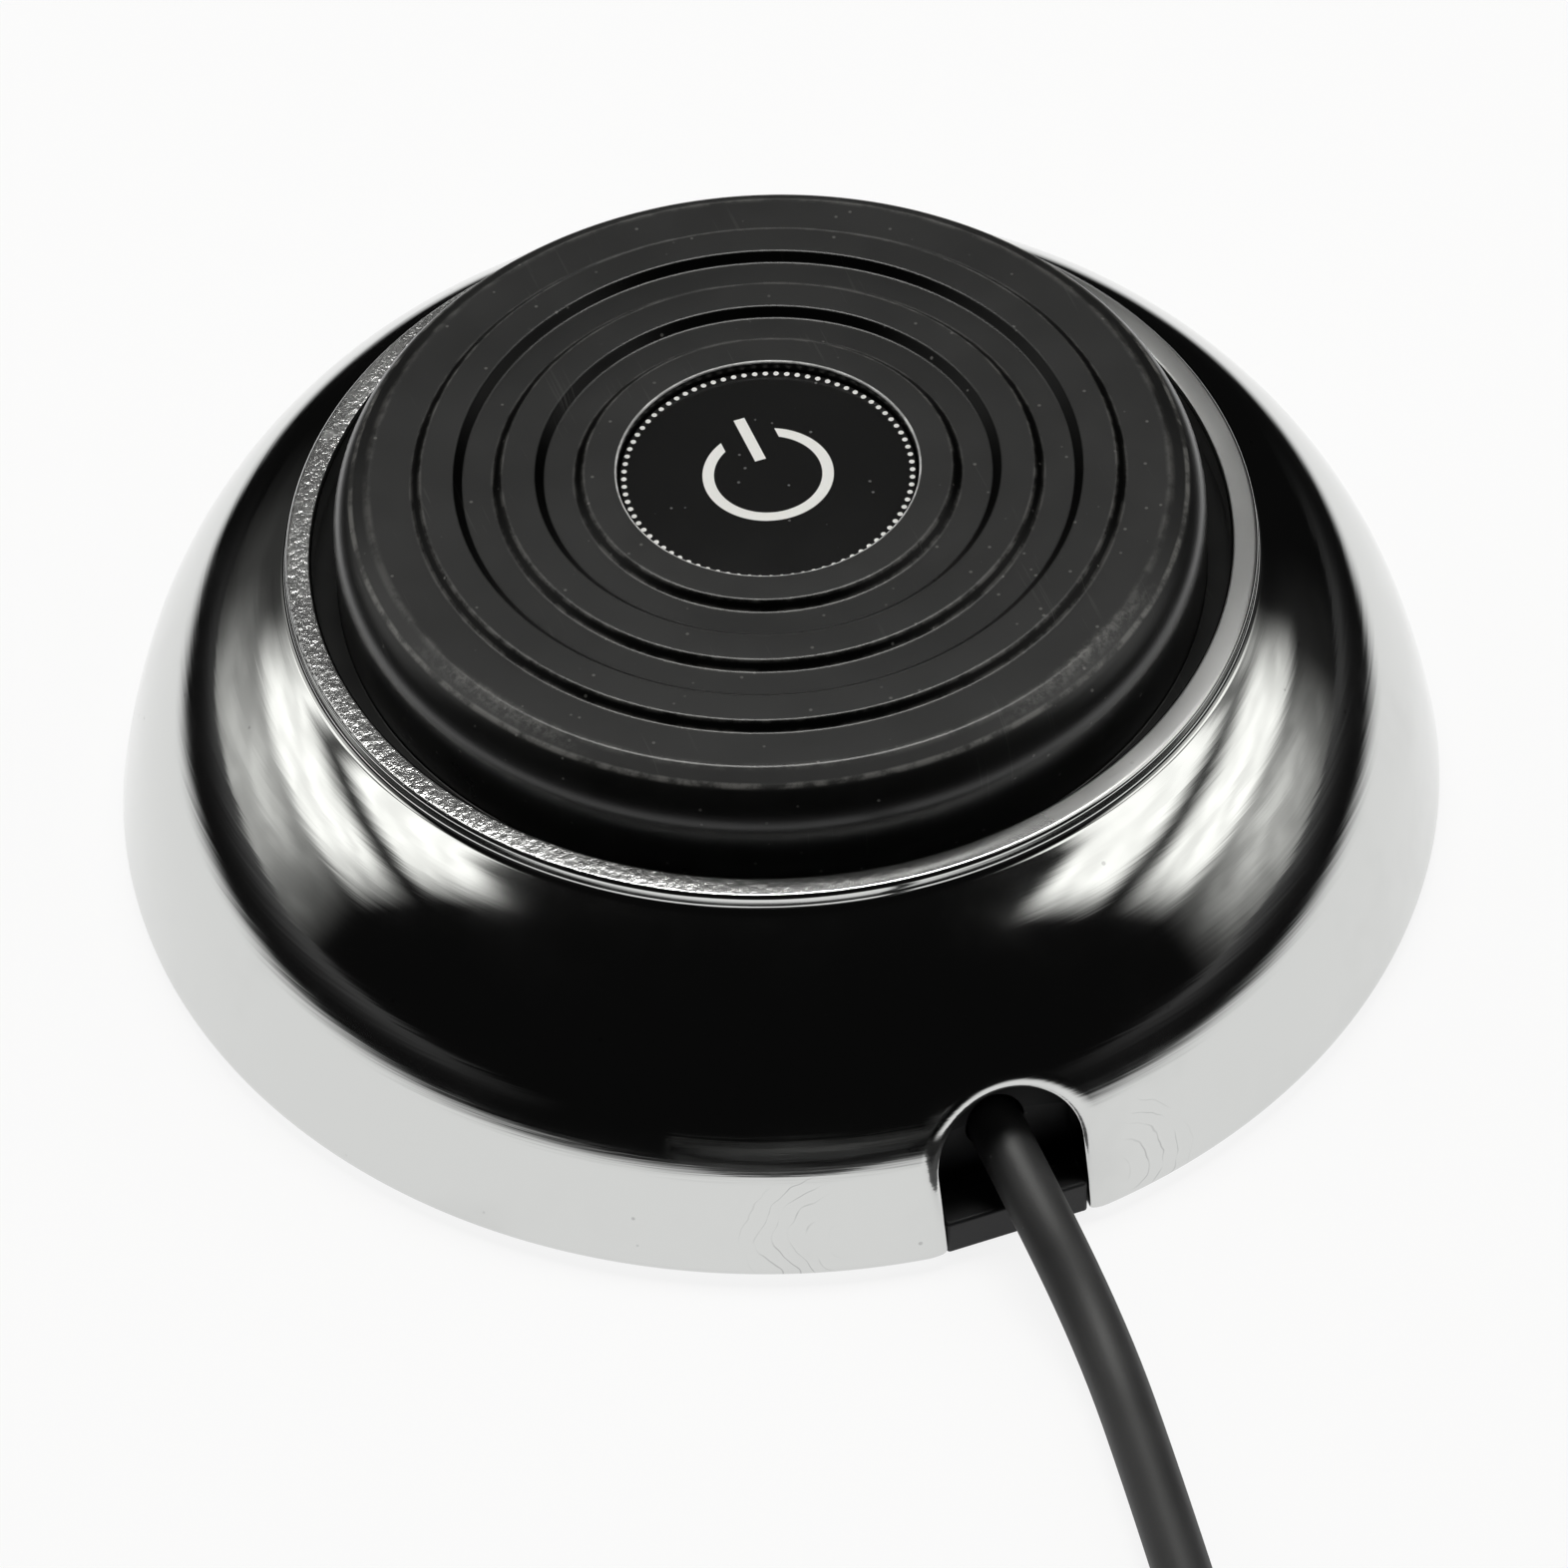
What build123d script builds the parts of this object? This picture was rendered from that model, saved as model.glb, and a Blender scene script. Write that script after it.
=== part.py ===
from build123d import *
import os
from math import acos, asin, atan2, cos, degrees, hypot, radians, sin, tan

os.makedirs("parts", exist_ok=True)

# Foot switch. Millimetres, +Z up, the floor at z = 0, the lead's outlet on -Y.

# Treadle: its radius sets the width of everything around it
TREADLE_RADIUS = 32.2
TREADLE_EDGE_ROUND = 3.6
TREADLE_RISE = 7.3
TREADLE_TOP_THICKNESS = 3.3
TREADLE_TRAVEL = 2.5
RING_COUNT = 3
RING_HEIGHT = 0.65
RING_WIDTH = 2.5
RING_SLOPE_WIDTH = 0.62
RING_MARGIN = 2.38
SKIRT_THICKNESS = 1.2
SKIRT_LENGTH = 16.0
FLANGE_WIDTH = 3.6
FLANGE_THICKNESS = 1.6
FLANGE_CLEARANCE = 0.1
RIB_COUNT = 6
RIB_THICKNESS = 1.4
RIB_DEPTH = 3.0
POST_RADIUS = 2.5
POST_CLEARANCE = 0.12

# Label in the treadle's recess
LABEL_RADIUS = 10.9
LABEL_THICKNESS = 0.3
LABEL_DROP = 0.1
LABEL_CLEARANCE = 0.2

# Chrome body: outer profile as tangent arcs, from the bottom edge up to the lip
TREADLE_GAP = 1.8
LIP_WIDTH = 2.0
LIP_THICKNESS = 2.6
LIP_WALL_HEIGHT = 0.574
LIP_ROUND = 0.35
LIP_ROOT_ROUND = 0.8
DOME_WIDTH = 14.0
BODY_BOTTOM_Z = 0.4
BODY_WALL = 3.0
EDGE_ROUND = 1.02
WALL_DRAFT = 10.0
LOWER_ARC_RADIUS = 60.0
LOWER_ARC_TURN = 7.0
MIDDLE_ARC_RADIUS = 32.0
MIDDLE_ARC_TURN = 20.0
UPPER_ARC_RADIUS = 20.0
BORE_CLEARANCE = 0.6

# Arched outlet for the lead
OUTLET_HALF_WIDTH = 5.6
OUTLET_ARCH_Z = 7.5
OUTLET_REACH = 12.0

# Base screws and the bosses they enter
SCREW_INSET = 10.0
BASE_SCREW_COUNT = 4
BOSS_RADIUS = 3.4
BOSS_TOP_Z = 18.0
BASE_SCREW_SHANK_RADIUS = 1.4
BASE_SCREW_TOP_Z = 11.0
BASE_SCREW_HEAD_RADIUS = 2.8
BASE_SCREW_HEAD_HEIGHT = 1.0
SCREW_CLEARANCE = 0.1
PILOT_EXTRA_DEPTH = 1.0
CROSS_WIDTH = 0.7
CROSS_REACH = 1.4
CROSS_DEPTH = 0.6

# Base plate and rubber pad
PLATE_CLEARANCE = 0.4
PLATE_RIM = 1.6
PLATE_BOTTOM_Z = 0.7
PLATE_TOP_Z = 2.9
PAD_TOP_Z = 1.3
PAD_CLEARANCE = 0.2
PAD_HOLE_RADIUS = 3.6

# Guide ring on the base plate, inside the treadle's skirt
GUIDE_CLEARANCE = 0.4
GUIDE_THICKNESS = 1.4
GUIDE_HEADROOM = 4.5
GUIDE_SLOT_WIDTH = 6.0
GUIDE_SLOT_TOP_Z = 11.5

# Return springs, their seats on the base plate and their cups under the treadle
SPRING_COUNT = 3
SPRING_MARGIN = 1.7
SPRING_FIRST_ANGLE = 90.0
SPRING_MEAN_RADIUS = 3.6
SPRING_WIRE_RADIUS = 0.45
SPRING_TURNS = 5.5
SEAT_RADIUS = 5.5
SEAT_TOP_Z = 9.0
PEG_RADIUS = 2.8
PEG_TOP_Z = 15.0
CUP_INNER_RADIUS = 4.5
CUP_OUTER_RADIUS = 5.6
CUP_DEPTH = 8.0

# Snap-action switch
SWITCH_LENGTH = 19.8
SWITCH_LEFT_X = -16.2
SWITCH_BACK_Y = 2.5
SWITCH_CASE_DEPTH = 5.0
SWITCH_COVER_DEPTH = 1.4
SWITCH_BOTTOM_Z = 9.3
SWITCH_HEIGHT = 10.2
SWITCH_HOLE_X = (-11.05, -1.55)
SWITCH_HOLE_Z = 12.0
SWITCH_EDGE_ROUND = 0.4
BRACKET_DEPTH = 3.5
BRACKET_TOP_Z = 17.0
SWITCH_SCREW_SHANK_RADIUS = 1.1
SWITCH_SCREW_HEAD_RADIUS = 2.0
SWITCH_SCREW_HEAD_HEIGHT = 1.4
SWITCH_SCREW_GRIP = 3.0
LEVER_PIVOT_X = -14.0
LEVER_PIVOT_Z = 21.0
LEVER_REST_ANGLE = 7.5
LEVER_REACH = 17.0
LEVER_WIDTH = 3.6
LEVER_THICKNESS = 0.4
LEVER_EYE_RADIUS = 0.9
LEVER_PIN_RADIUS = 0.5
EAR_WIDTH = 2.8
EAR_THICKNESS = 0.6
EAR_TOP_Z = 22.2
PIVOT_CLEARANCE = 0.08
PLUNGER_X = -9.0
PLUNGER_RADIUS = 1.3
PLUNGER_ROUND = 0.6
PLUNGER_LENGTH = 3.9
PLUNGER_CLEARANCE = 0.06
PLUNGER_BORE_DEPTH = 3.6
TERMINAL_X = (-14.2, -6.3, 1.6)
TERMINAL_THICKNESS = 0.5
TERMINAL_WIDTH = 3.2
TERMINAL_LENGTH = 5.3
TERMINAL_HOLE_RADIUS = 0.8
TERMINAL_HOLE_UP = 2.2

# Lead, its port block, its clamp and its two cores
CORD_RADIUS = 2.125
CORD_EXIT_Z = 8.0
CORD_INSIDE = 2.2
CORD_CLEARANCE = 0.15
PORT_WIDTH = 19.0
PORT_INSET = 1.9
PORT_DEPTH = 3.3
PORT_TOP_Z = 13.6
PORT_CLEARANCE = 0.4
CLAMP_LENGTH = 18.0
CLAMP_WIDTH = 6.0
CLAMP_INSET = 1.9
CLAMP_TOP_Z = 12.2
CLAMP_GAP = 0.8
CLAMP_EDGE_ROUND = 0.8
CLAMP_CLEARANCE = 0.03
CLAMP_SCREW_X = 6.5
CLAMP_SCREW_SHANK_RADIUS = 1.1
CLAMP_SCREW_HEAD_RADIUS = 2.0
CLAMP_SCREW_HEAD_HEIGHT = 1.5
CLAMP_SCREW_BOTTOM_Z = 4.0
WIRE_RADIUS = 0.65
WIRE_HALF_SPACING = 0.9
WIRE_STRAIGHT = 6.0
WIRE_BOW = 1.2
WIRE_LUG_RUN = 4.0
WIRE_CLEARANCE = 0.8
WIRE_LUG_GAP = 0.35

# Lead's route from the outlet over the floor: offset in X, then distance past the body
ROUTE_MOUTH_INSIDE = 0.5
ROUTE_OFFSETS = ((1.45, 12.0), (-0.2, 26.0), (-3.0, 46.0))

# Coil of the lead's unseen length, and its tie
COIL_CENTRE_X = -38.5
COIL_FROM_BODY = 66.2
COIL_MEAN_RADIUS = 25.5
COIL_COLUMNS = 4
COIL_LAYERS = 2
COIL_EDGE_ROUND = 2.0
TIE_THICKNESS = 0.8
TIE_TURN = 20.0
TIE_ANGLE = 170.0
TAIL_Z = 6.5
TAIL_START_ANGLE = 70.0
TAIL_MIDDLE_ANGLE = 46.0
TAIL_MIDDLE_OUT = 2.5
TAIL_STRAIGHT = 10.0

# Plug, 6.35 mm, lying along -Y beside the coil
PLUG_X = 2.0
PLUG_FROM_BODY = 66.0
HANDLE_LENGTH = 34.0
HANDLE_RADIUS = 6.3
HANDLE_RELIEF_LENGTH = 11.0
HANDLE_REAR_RADIUS = 3.2
HANDLE_RELIEF_RADIUS = 4.3
RELIEF_SLOT_COUNT = 4
RELIEF_SLOT_WIDTH = 0.9
RELIEF_SLOT_DEPTH = 0.6
RELIEF_SLOT_START = 2.0
RELIEF_SLOT_PITCH = 2.2
HANDLE_ROUND = 1.2
HANDLE_CORD_DEPTH = 14.0
HANDLE_SLEEVE_DEPTH = 8.0
GRIP_GROOVE_COUNT = 5
GRIP_GROOVE_WIDTH = 1.2
GRIP_GROOVE_DEPTH = 0.45
GRIP_PITCH = 2.6
GRIP_START = 4.0
SLEEVE_RADIUS = 3.175
SLEEVE_BORE_RADIUS = 2.0
SLEEVE_LENGTH = 22.0
SHANK_RADIUS = 3.6
COLLAR_RADIUS = 5.0
COLLAR_LENGTH = 1.2
INSULATOR_RADIUS = 3.0
INSULATOR_LENGTH = 1.2
TIP_ROD_RADIUS = 1.1
TIP_HEAD_RADIUS = 3.0
TIP_NECK_RADIUS = 2.15
TIP_SHOULDER_RADIUS = 2.7
TIP_END_RADIUS = 1.0
TIP_RING_END = 1.2
TIP_NECK_START = 2.6
TIP_NECK_END = 3.2
TIP_HEAD_AT = 4.3
TIP_SHOULDER_AT = 5.0
TIP_LENGTH = 7.3

# How far a cutting shape runs past what it cuts
OVERRUN = 1.0

# Radii that follow from the treadle's
lip_inner_radius = TREADLE_RADIUS + TREADLE_GAP
lip_outer_radius = lip_inner_radius + LIP_WIDTH
body_radius = lip_outer_radius + DOME_WIDTH
flange_radius = TREADLE_RADIUS + FLANGE_WIDTH
bore_radius = flange_radius + BORE_CLEARANCE
skirt_inner_radius = TREADLE_RADIUS - SKIRT_THICKNESS
guide_outer_radius = skirt_inner_radius - GUIDE_CLEARANCE
guide_inner_radius = guide_outer_radius - GUIDE_THICKNESS
spring_circle_radius = guide_inner_radius - SEAT_RADIUS - SPRING_MARGIN
screw_circle_radius = body_radius - SCREW_INSET
plate_radius = body_radius - BODY_WALL - PLATE_CLEARANCE
pad_radius = plate_radius - PLATE_RIM
port_front_y = PORT_INSET - plate_radius
port_back_y = port_front_y + PORT_DEPTH
clamp_y0 = port_back_y + CLAMP_INSET
clamp_y1 = clamp_y0 + CLAMP_WIDTH
clamp_y = (clamp_y0 + clamp_y1) / 2
cord_start_y = CORD_INSIDE - guide_inner_radius
coil_centre_y = -body_radius - COIL_FROM_BODY
plug_rear_y = -body_radius - PLUG_FROM_BODY


def polar(radius, angle, z=0.0):
    """A location at a radius and an angle around Z."""
    return Pos(radius * cos(radians(angle)), radius * sin(radians(angle)), z)


def turned(outline):
    """A closed outline of radius and height, turned around Z."""
    return revolve(Plane.XZ * make_face(outline), Axis.Z)


def rod(radius, bottom, top):
    """An upright cylinder between two heights."""
    return Pos(0, 0, bottom) * Cylinder(radius, top - bottom, align=(Align.CENTER, Align.CENTER, Align.MIN))


def ring_cut(radius, depth, bottom, width):
    """A ring that cuts a groove into an upright round piece."""
    return rod(radius + OVERRUN, bottom, bottom + width) - rod(radius - depth, bottom, bottom + width)


def block(x0, x1, y0, y1, z0, z1):
    """A box between two corners."""
    return Pos((x0 + x1) / 2, (y0 + y1) / 2, (z0 + z1) / 2) * Box(x1 - x0, y1 - y0, z1 - z0)


def along_y(radius, y0, y1, x, z):
    """A cylinder along Y between two places."""
    return Pos(x, (y0 + y1) / 2, z) * Rot(90, 0, 0) * Cylinder(radius, y1 - y0)


def tube(points, radius, name):
    """A round tube along straight runs joined by tangent arcs."""
    places = [Vector(*p) for p in points]
    radii = []
    for before, here, after in zip(places, places[1:], places[2:]):
        turn = radians((here - before).get_angle(after - here))
        shorter = min((here - before).length, (after - here).length)
        radii.append(0.45 * shorter / tan(turn / 2))
    route = FilletPolyline(*places, radius=radii) if radii else Polyline(*places)
    print(name, "bend radii", [round(r, 1) for r in radii], "length", round(route.length, 1))
    return sweep(Plane(origin=route @ 0, z_dir=route % 0) * Circle(radius), path=route)


def screw(shank_radius, length, head_radius, head_height):
    """An upright screw with a cross recess, its head resting on z = 0."""
    half = CROSS_WIDTH / 2
    arm = block(-CROSS_REACH, CROSS_REACH, -half, half, head_height - CROSS_DEPTH, head_height)
    return rod(shank_radius, -length, 0) + rod(head_radius, 0, head_height) - arm - Rot(0, 0, 90) * arm


def save(shape, name):
    """Write one piece to its own file."""
    shape.label = name
    export_step(shape, f"parts/{name}.step")


# Outer profile: the points where one arc hands over to the next
edge_start = (
    body_radius - EDGE_ROUND * sin(radians(90 + WALL_DRAFT)),
    BODY_BOTTOM_Z,
)
edge_arc = JernArc(edge_start, (1, 0), EDGE_ROUND, 90 + WALL_DRAFT)
lower_arc = JernArc(edge_arc @ 1, edge_arc % 1, LOWER_ARC_RADIUS, LOWER_ARC_TURN)
middle_arc = JernArc(lower_arc @ 1, lower_arc % 1, MIDDLE_ARC_RADIUS, MIDDLE_ARC_TURN)
upper_start_tilt = WALL_DRAFT + LOWER_ARC_TURN + MIDDLE_ARC_TURN
upper_start = middle_arc @ 1
lip_tilt = degrees(
    acos(
        (
            lip_outer_radius
            + LIP_ROOT_ROUND
            - upper_start.X
            + UPPER_ARC_RADIUS * cos(radians(upper_start_tilt))
        )
        / (UPPER_ARC_RADIUS + LIP_ROOT_ROUND)
    )
)
upper_arc = JernArc(upper_start, middle_arc % 1, UPPER_ARC_RADIUS, lip_tilt - upper_start_tilt)
root_arc = JernArc(upper_arc @ 1, upper_arc % 1, LIP_ROOT_ROUND, -lip_tilt)
lip_wall_end_z = (root_arc @ 1).Y + LIP_WALL_HEIGHT
lip_top_z = lip_wall_end_z + LIP_ROUND
lip_under_z = lip_top_z - LIP_THICKNESS
lip_wall = Line(root_arc @ 1, (lip_outer_radius, lip_wall_end_z))
lip_outer_round = JernArc(lip_wall @ 1, (0, 1), LIP_ROUND, 90)
lip_top = Line(lip_outer_round @ 1, (lip_inner_radius + LIP_ROUND, lip_top_z))
lip_inner_round = JernArc(lip_top @ 1, (-1, 0), LIP_ROUND, 90)
print("lip top", round(lip_top_z, 3), "body radius", round(body_radius, 3))

# Heights that follow from the lip's
ring_top_z = lip_top_z + TREADLE_RISE
groove_z = ring_top_z - RING_HEIGHT
treadle_under_z = ring_top_z - TREADLE_TOP_THICKNESS
rib_bottom_z = treadle_under_z - RIB_DEPTH
cup_bottom_z = treadle_under_z - CUP_DEPTH
skirt_bottom_z = treadle_under_z - SKIRT_LENGTH
guide_top_z = rib_bottom_z - TREADLE_TRAVEL - GUIDE_HEADROOM
label_top_z = groove_z - LABEL_DROP
recess_floor_z = label_top_z - LABEL_THICKNESS
flange_top_z = lip_under_z - FLANGE_CLEARANCE
flange_bottom_z = flange_top_z - FLANGE_THICKNESS


def centre_of(start, tilt, radius):
    """The centre of an arc that starts at a point with a tilt of its normal."""
    return Vector(start.X - radius * cos(radians(tilt)), start.Y - radius * sin(radians(tilt)))


lower_centre = centre_of(edge_arc @ 1, WALL_DRAFT, LOWER_ARC_RADIUS)
middle_centre = centre_of(lower_arc @ 1, WALL_DRAFT + LOWER_ARC_TURN, MIDDLE_ARC_RADIUS)
upper_centre = centre_of(upper_start, upper_start_tilt, UPPER_ARC_RADIUS)


def inner_arcs(thickness, bottom_z, end_radius):
    """The body's arcs moved inward, from a height up to a radius."""
    lower_radius = LOWER_ARC_RADIUS - thickness
    middle_radius = MIDDLE_ARC_RADIUS - thickness
    upper_radius = UPPER_ARC_RADIUS - thickness
    low = degrees(asin((bottom_z - lower_centre.Y) / lower_radius))
    high = degrees(acos((end_radius - upper_centre.X) / upper_radius))
    first = CenterArc(lower_centre, lower_radius, low, WALL_DRAFT + LOWER_ARC_TURN - low)
    second = CenterArc(middle_centre, middle_radius, WALL_DRAFT + LOWER_ARC_TURN, MIDDLE_ARC_TURN)
    third = CenterArc(upper_centre, upper_radius, upper_start_tilt, high - upper_start_tilt)
    return first, second, third


# Chrome body
inner_low, inner_middle, inner_high = inner_arcs(BODY_WALL, BODY_BOTTOM_Z, bore_radius)
body_outline = Curve() + [
    Line(inner_low @ 0, edge_arc @ 0),
    edge_arc,
    lower_arc,
    middle_arc,
    upper_arc,
    root_arc,
    lip_wall,
    lip_outer_round,
    lip_top,
    lip_inner_round,
    Line(lip_inner_round @ 1, (lip_inner_radius, lip_under_z)),
    Line((lip_inner_radius, lip_under_z), (bore_radius, lip_under_z)),
    Line((bore_radius, lip_under_z), inner_high @ 1),
    inner_high,
    inner_middle,
    inner_low,
]
chrome_body = turned(body_outline)
boss_limit = turned(
    Curve() + [
        Line((0, BODY_BOTTOM_Z), edge_arc @ 0),
        edge_arc,
        lower_arc,
        middle_arc,
        upper_arc,
        Line(upper_arc @ 1, (0, (upper_arc @ 1).Y)),
        Line((0, (upper_arc @ 1).Y), (0, BODY_BOTTOM_Z)),
    ]
)
screw_angles = [45 + 360 / BASE_SCREW_COUNT * i for i in range(BASE_SCREW_COUNT)]
for angle in screw_angles:
    boss = polar(screw_circle_radius, angle) * rod(BOSS_RADIUS, PLATE_TOP_Z, BOSS_TOP_Z)
    chrome_body += boss & boss_limit
for angle in screw_angles:
    pilot = rod(BASE_SCREW_SHANK_RADIUS + SCREW_CLEARANCE, 0, BASE_SCREW_TOP_Z + PILOT_EXTRA_DEPTH)
    chrome_body -= polar(screw_circle_radius, angle) * pilot
outlet_y0 = -body_radius - OUTLET_REACH
outlet_y1 = -body_radius + OUTLET_REACH
outlet = block(-OUTLET_HALF_WIDTH, OUTLET_HALF_WIDTH, outlet_y0, outlet_y1, -OVERRUN, OUTLET_ARCH_Z)
outlet += along_y(OUTLET_HALF_WIDTH, outlet_y0, outlet_y1, 0, OUTLET_ARCH_Z)
chrome_body -= outlet
save(chrome_body, "chrome_body")

# Rubber pad
floor_pad = rod(pad_radius, 0, PAD_TOP_Z)
for angle in screw_angles:
    floor_pad -= polar(screw_circle_radius, angle) * rod(PAD_HOLE_RADIUS, -OVERRUN, PAD_TOP_Z + OVERRUN)
save(floor_pad, "floor_pad")

# Base plate with its guide ring, spring seats, port block, clamp saddle and switch bracket
spring_angles = [SPRING_FIRST_ANGLE + 360 / SPRING_COUNT * i for i in range(SPRING_COUNT)]
base_plate = rod(plate_radius, PLATE_BOTTOM_Z, PLATE_TOP_Z)
base_plate -= rod(pad_radius + PAD_CLEARANCE, 0, PAD_TOP_Z)
guide_ring = rod(guide_outer_radius, PLATE_TOP_Z, guide_top_z)
guide_ring -= rod(guide_inner_radius, PLATE_TOP_Z, guide_top_z)
slot_half = GUIDE_SLOT_WIDTH / 2
guide_ring -= block(
    -slot_half,
    slot_half,
    -guide_outer_radius - OVERRUN,
    -guide_inner_radius + OVERRUN,
    PLATE_TOP_Z,
    GUIDE_SLOT_TOP_Z,
)
base_plate += guide_ring
for angle in spring_angles:
    seat = rod(SEAT_RADIUS, PLATE_TOP_Z, SEAT_TOP_Z) + rod(PEG_RADIUS, SEAT_TOP_Z, PEG_TOP_Z)
    base_plate += polar(spring_circle_radius, angle) * seat
port_low, port_middle, port_high = inner_arcs(BODY_WALL + PORT_CLEARANCE, PLATE_TOP_Z, bore_radius)
port_limit = turned(
    Curve() + [
        Line((0, PLATE_TOP_Z), port_low @ 0),
        port_low,
        port_middle,
        port_high,
        Line(port_high @ 1, (0, (port_high @ 1).Y)),
        Line((0, (port_high @ 1).Y), (0, PLATE_TOP_Z)),
    ]
)
port = block(-PORT_WIDTH / 2, PORT_WIDTH / 2, port_front_y, port_back_y, PLATE_TOP_Z, PORT_TOP_Z) & port_limit
port -= along_y(CORD_RADIUS + CORD_CLEARANCE, port_front_y - OVERRUN, port_back_y + OVERRUN, 0, CORD_EXIT_Z)
base_plate += port
clamp_groove = along_y(CORD_RADIUS + CLAMP_CLEARANCE, clamp_y0 - OVERRUN, clamp_y1 + OVERRUN, 0, CORD_EXIT_Z)
saddle_top_z = CORD_EXIT_Z - CLAMP_GAP / 2
saddle = block(-CLAMP_LENGTH / 2, CLAMP_LENGTH / 2, clamp_y0, clamp_y1, PLATE_TOP_Z, saddle_top_z)
saddle -= clamp_groove
for x in (-CLAMP_SCREW_X, CLAMP_SCREW_X):
    saddle -= Pos(x, clamp_y, 0) * rod(
        CLAMP_SCREW_SHANK_RADIUS + SCREW_CLEARANCE,
        CLAMP_SCREW_BOTTOM_Z - SCREW_CLEARANCE,
        CLAMP_TOP_Z,
    )
base_plate += saddle
bracket_y1 = SWITCH_BACK_Y + BRACKET_DEPTH
bracket_hole_y0 = SWITCH_BACK_Y - OVERRUN
bracket_hole_y1 = bracket_y1 + OVERRUN
switch_right_x = SWITCH_LEFT_X + SWITCH_LENGTH
bracket = block(SWITCH_LEFT_X, switch_right_x, SWITCH_BACK_Y, bracket_y1, PLATE_TOP_Z, BRACKET_TOP_Z)
switch_screw_hole_radius = SWITCH_SCREW_SHANK_RADIUS + SCREW_CLEARANCE
for x in SWITCH_HOLE_X:
    bracket -= along_y(switch_screw_hole_radius, bracket_hole_y0, bracket_hole_y1, x, SWITCH_HOLE_Z)
base_plate += bracket
for angle in screw_angles:
    hole = rod(BASE_SCREW_SHANK_RADIUS + SCREW_CLEARANCE, 0, PLATE_TOP_Z + OVERRUN)
    base_plate -= polar(screw_circle_radius, angle) * hole
save(base_plate, "base_plate")

# Base screws, one group
base_screw = screw(
    BASE_SCREW_SHANK_RADIUS,
    BASE_SCREW_TOP_Z - PAD_TOP_Z,
    BASE_SCREW_HEAD_RADIUS,
    BASE_SCREW_HEAD_HEIGHT,
)
base_screw = Rot(180, 0, 0) * base_screw
base_screws = [polar(screw_circle_radius, angle, PAD_TOP_Z) * base_screw for angle in screw_angles]
save(Compound(children=base_screws), "base_screws")

# Treadle: top with rings, rounded edge, skirt and flange in one turned outline
edge_flat_radius = TREADLE_RADIUS - TREADLE_EDGE_ROUND
first_ring_radius = LABEL_RADIUS + LABEL_CLEARANCE
last_ring_radius = edge_flat_radius - RING_MARGIN - RING_SLOPE_WIDTH - RING_WIDTH
ring_pitch = (last_ring_radius - first_ring_radius) / (RING_COUNT - 1)
top_points = [(0, treadle_under_z), (0, recess_floor_z), (first_ring_radius, recess_floor_z)]
for i in range(RING_COUNT):
    ring_inner = first_ring_radius + ring_pitch * i
    ring_outer = ring_inner + RING_WIDTH
    if i > 0:
        top_points.append((ring_inner - RING_SLOPE_WIDTH, groove_z))
    top_points.append((ring_inner, ring_top_z))
    top_points.append((ring_outer, ring_top_z))
    top_points.append((ring_outer + RING_SLOPE_WIDTH, groove_z))
top_points.append((edge_flat_radius, groove_z))
treadle_edge = JernArc((edge_flat_radius, groove_z), (1, 0), TREADLE_EDGE_ROUND, -90)
side_points = [
    (TREADLE_RADIUS, groove_z - TREADLE_EDGE_ROUND),
    (TREADLE_RADIUS, flange_top_z),
    (flange_radius, flange_top_z),
    (flange_radius, flange_bottom_z),
    (TREADLE_RADIUS, flange_bottom_z),
    (TREADLE_RADIUS, skirt_bottom_z),
    (skirt_inner_radius, skirt_bottom_z),
    (skirt_inner_radius, treadle_under_z),
    (0, treadle_under_z),
]
treadle = turned(Curve() + [Polyline(*top_points), treadle_edge, Polyline(*side_points)])
for i in range(RIB_COUNT):
    rib = block(0, skirt_inner_radius, -RIB_THICKNESS / 2, RIB_THICKNESS / 2, rib_bottom_z, treadle_under_z)
    treadle += Rot(0, 0, SPRING_FIRST_ANGLE + 360 / RIB_COUNT * i) * rib
for angle in spring_angles:
    treadle += polar(spring_circle_radius, angle) * rod(CUP_OUTER_RADIUS, cup_bottom_z, treadle_under_z)
for angle in spring_angles:
    treadle -= polar(spring_circle_radius, angle) * rod(CUP_INNER_RADIUS, cup_bottom_z, treadle_under_z)
lever_top_z = (
    LEVER_PIVOT_Z
    - LEVER_PIVOT_X * tan(radians(LEVER_REST_ANGLE))
    + LEVER_THICKNESS / 2 / cos(radians(LEVER_REST_ANGLE))
)
post_end_z = lever_top_z + POST_CLEARANCE + POST_RADIUS
treadle += rod(POST_RADIUS, post_end_z, treadle_under_z)
treadle += Pos(0, 0, post_end_z) * Sphere(POST_RADIUS)
save(treadle, "treadle")

# Label
label_disc = rod(LABEL_RADIUS, label_top_z - LABEL_THICKNESS, label_top_z)
save(label_disc, "label_disc")

# Return springs
coil_bottom_z = SEAT_TOP_Z + SPRING_WIRE_RADIUS
spring_height = treadle_under_z - SEAT_TOP_Z - 2 * SPRING_WIRE_RADIUS
helix = Helix(spring_height / SPRING_TURNS, spring_height, SPRING_MEAN_RADIUS)
spring_section = Plane(origin=helix @ 0, z_dir=helix % 0) * Circle(SPRING_WIRE_RADIUS)
spring = sweep(spring_section, path=helix, is_frenet=True)
for i, angle in enumerate(spring_angles):
    save(polar(spring_circle_radius, angle, coil_bottom_z) * spring, f"return_spring_{i + 1}")

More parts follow.
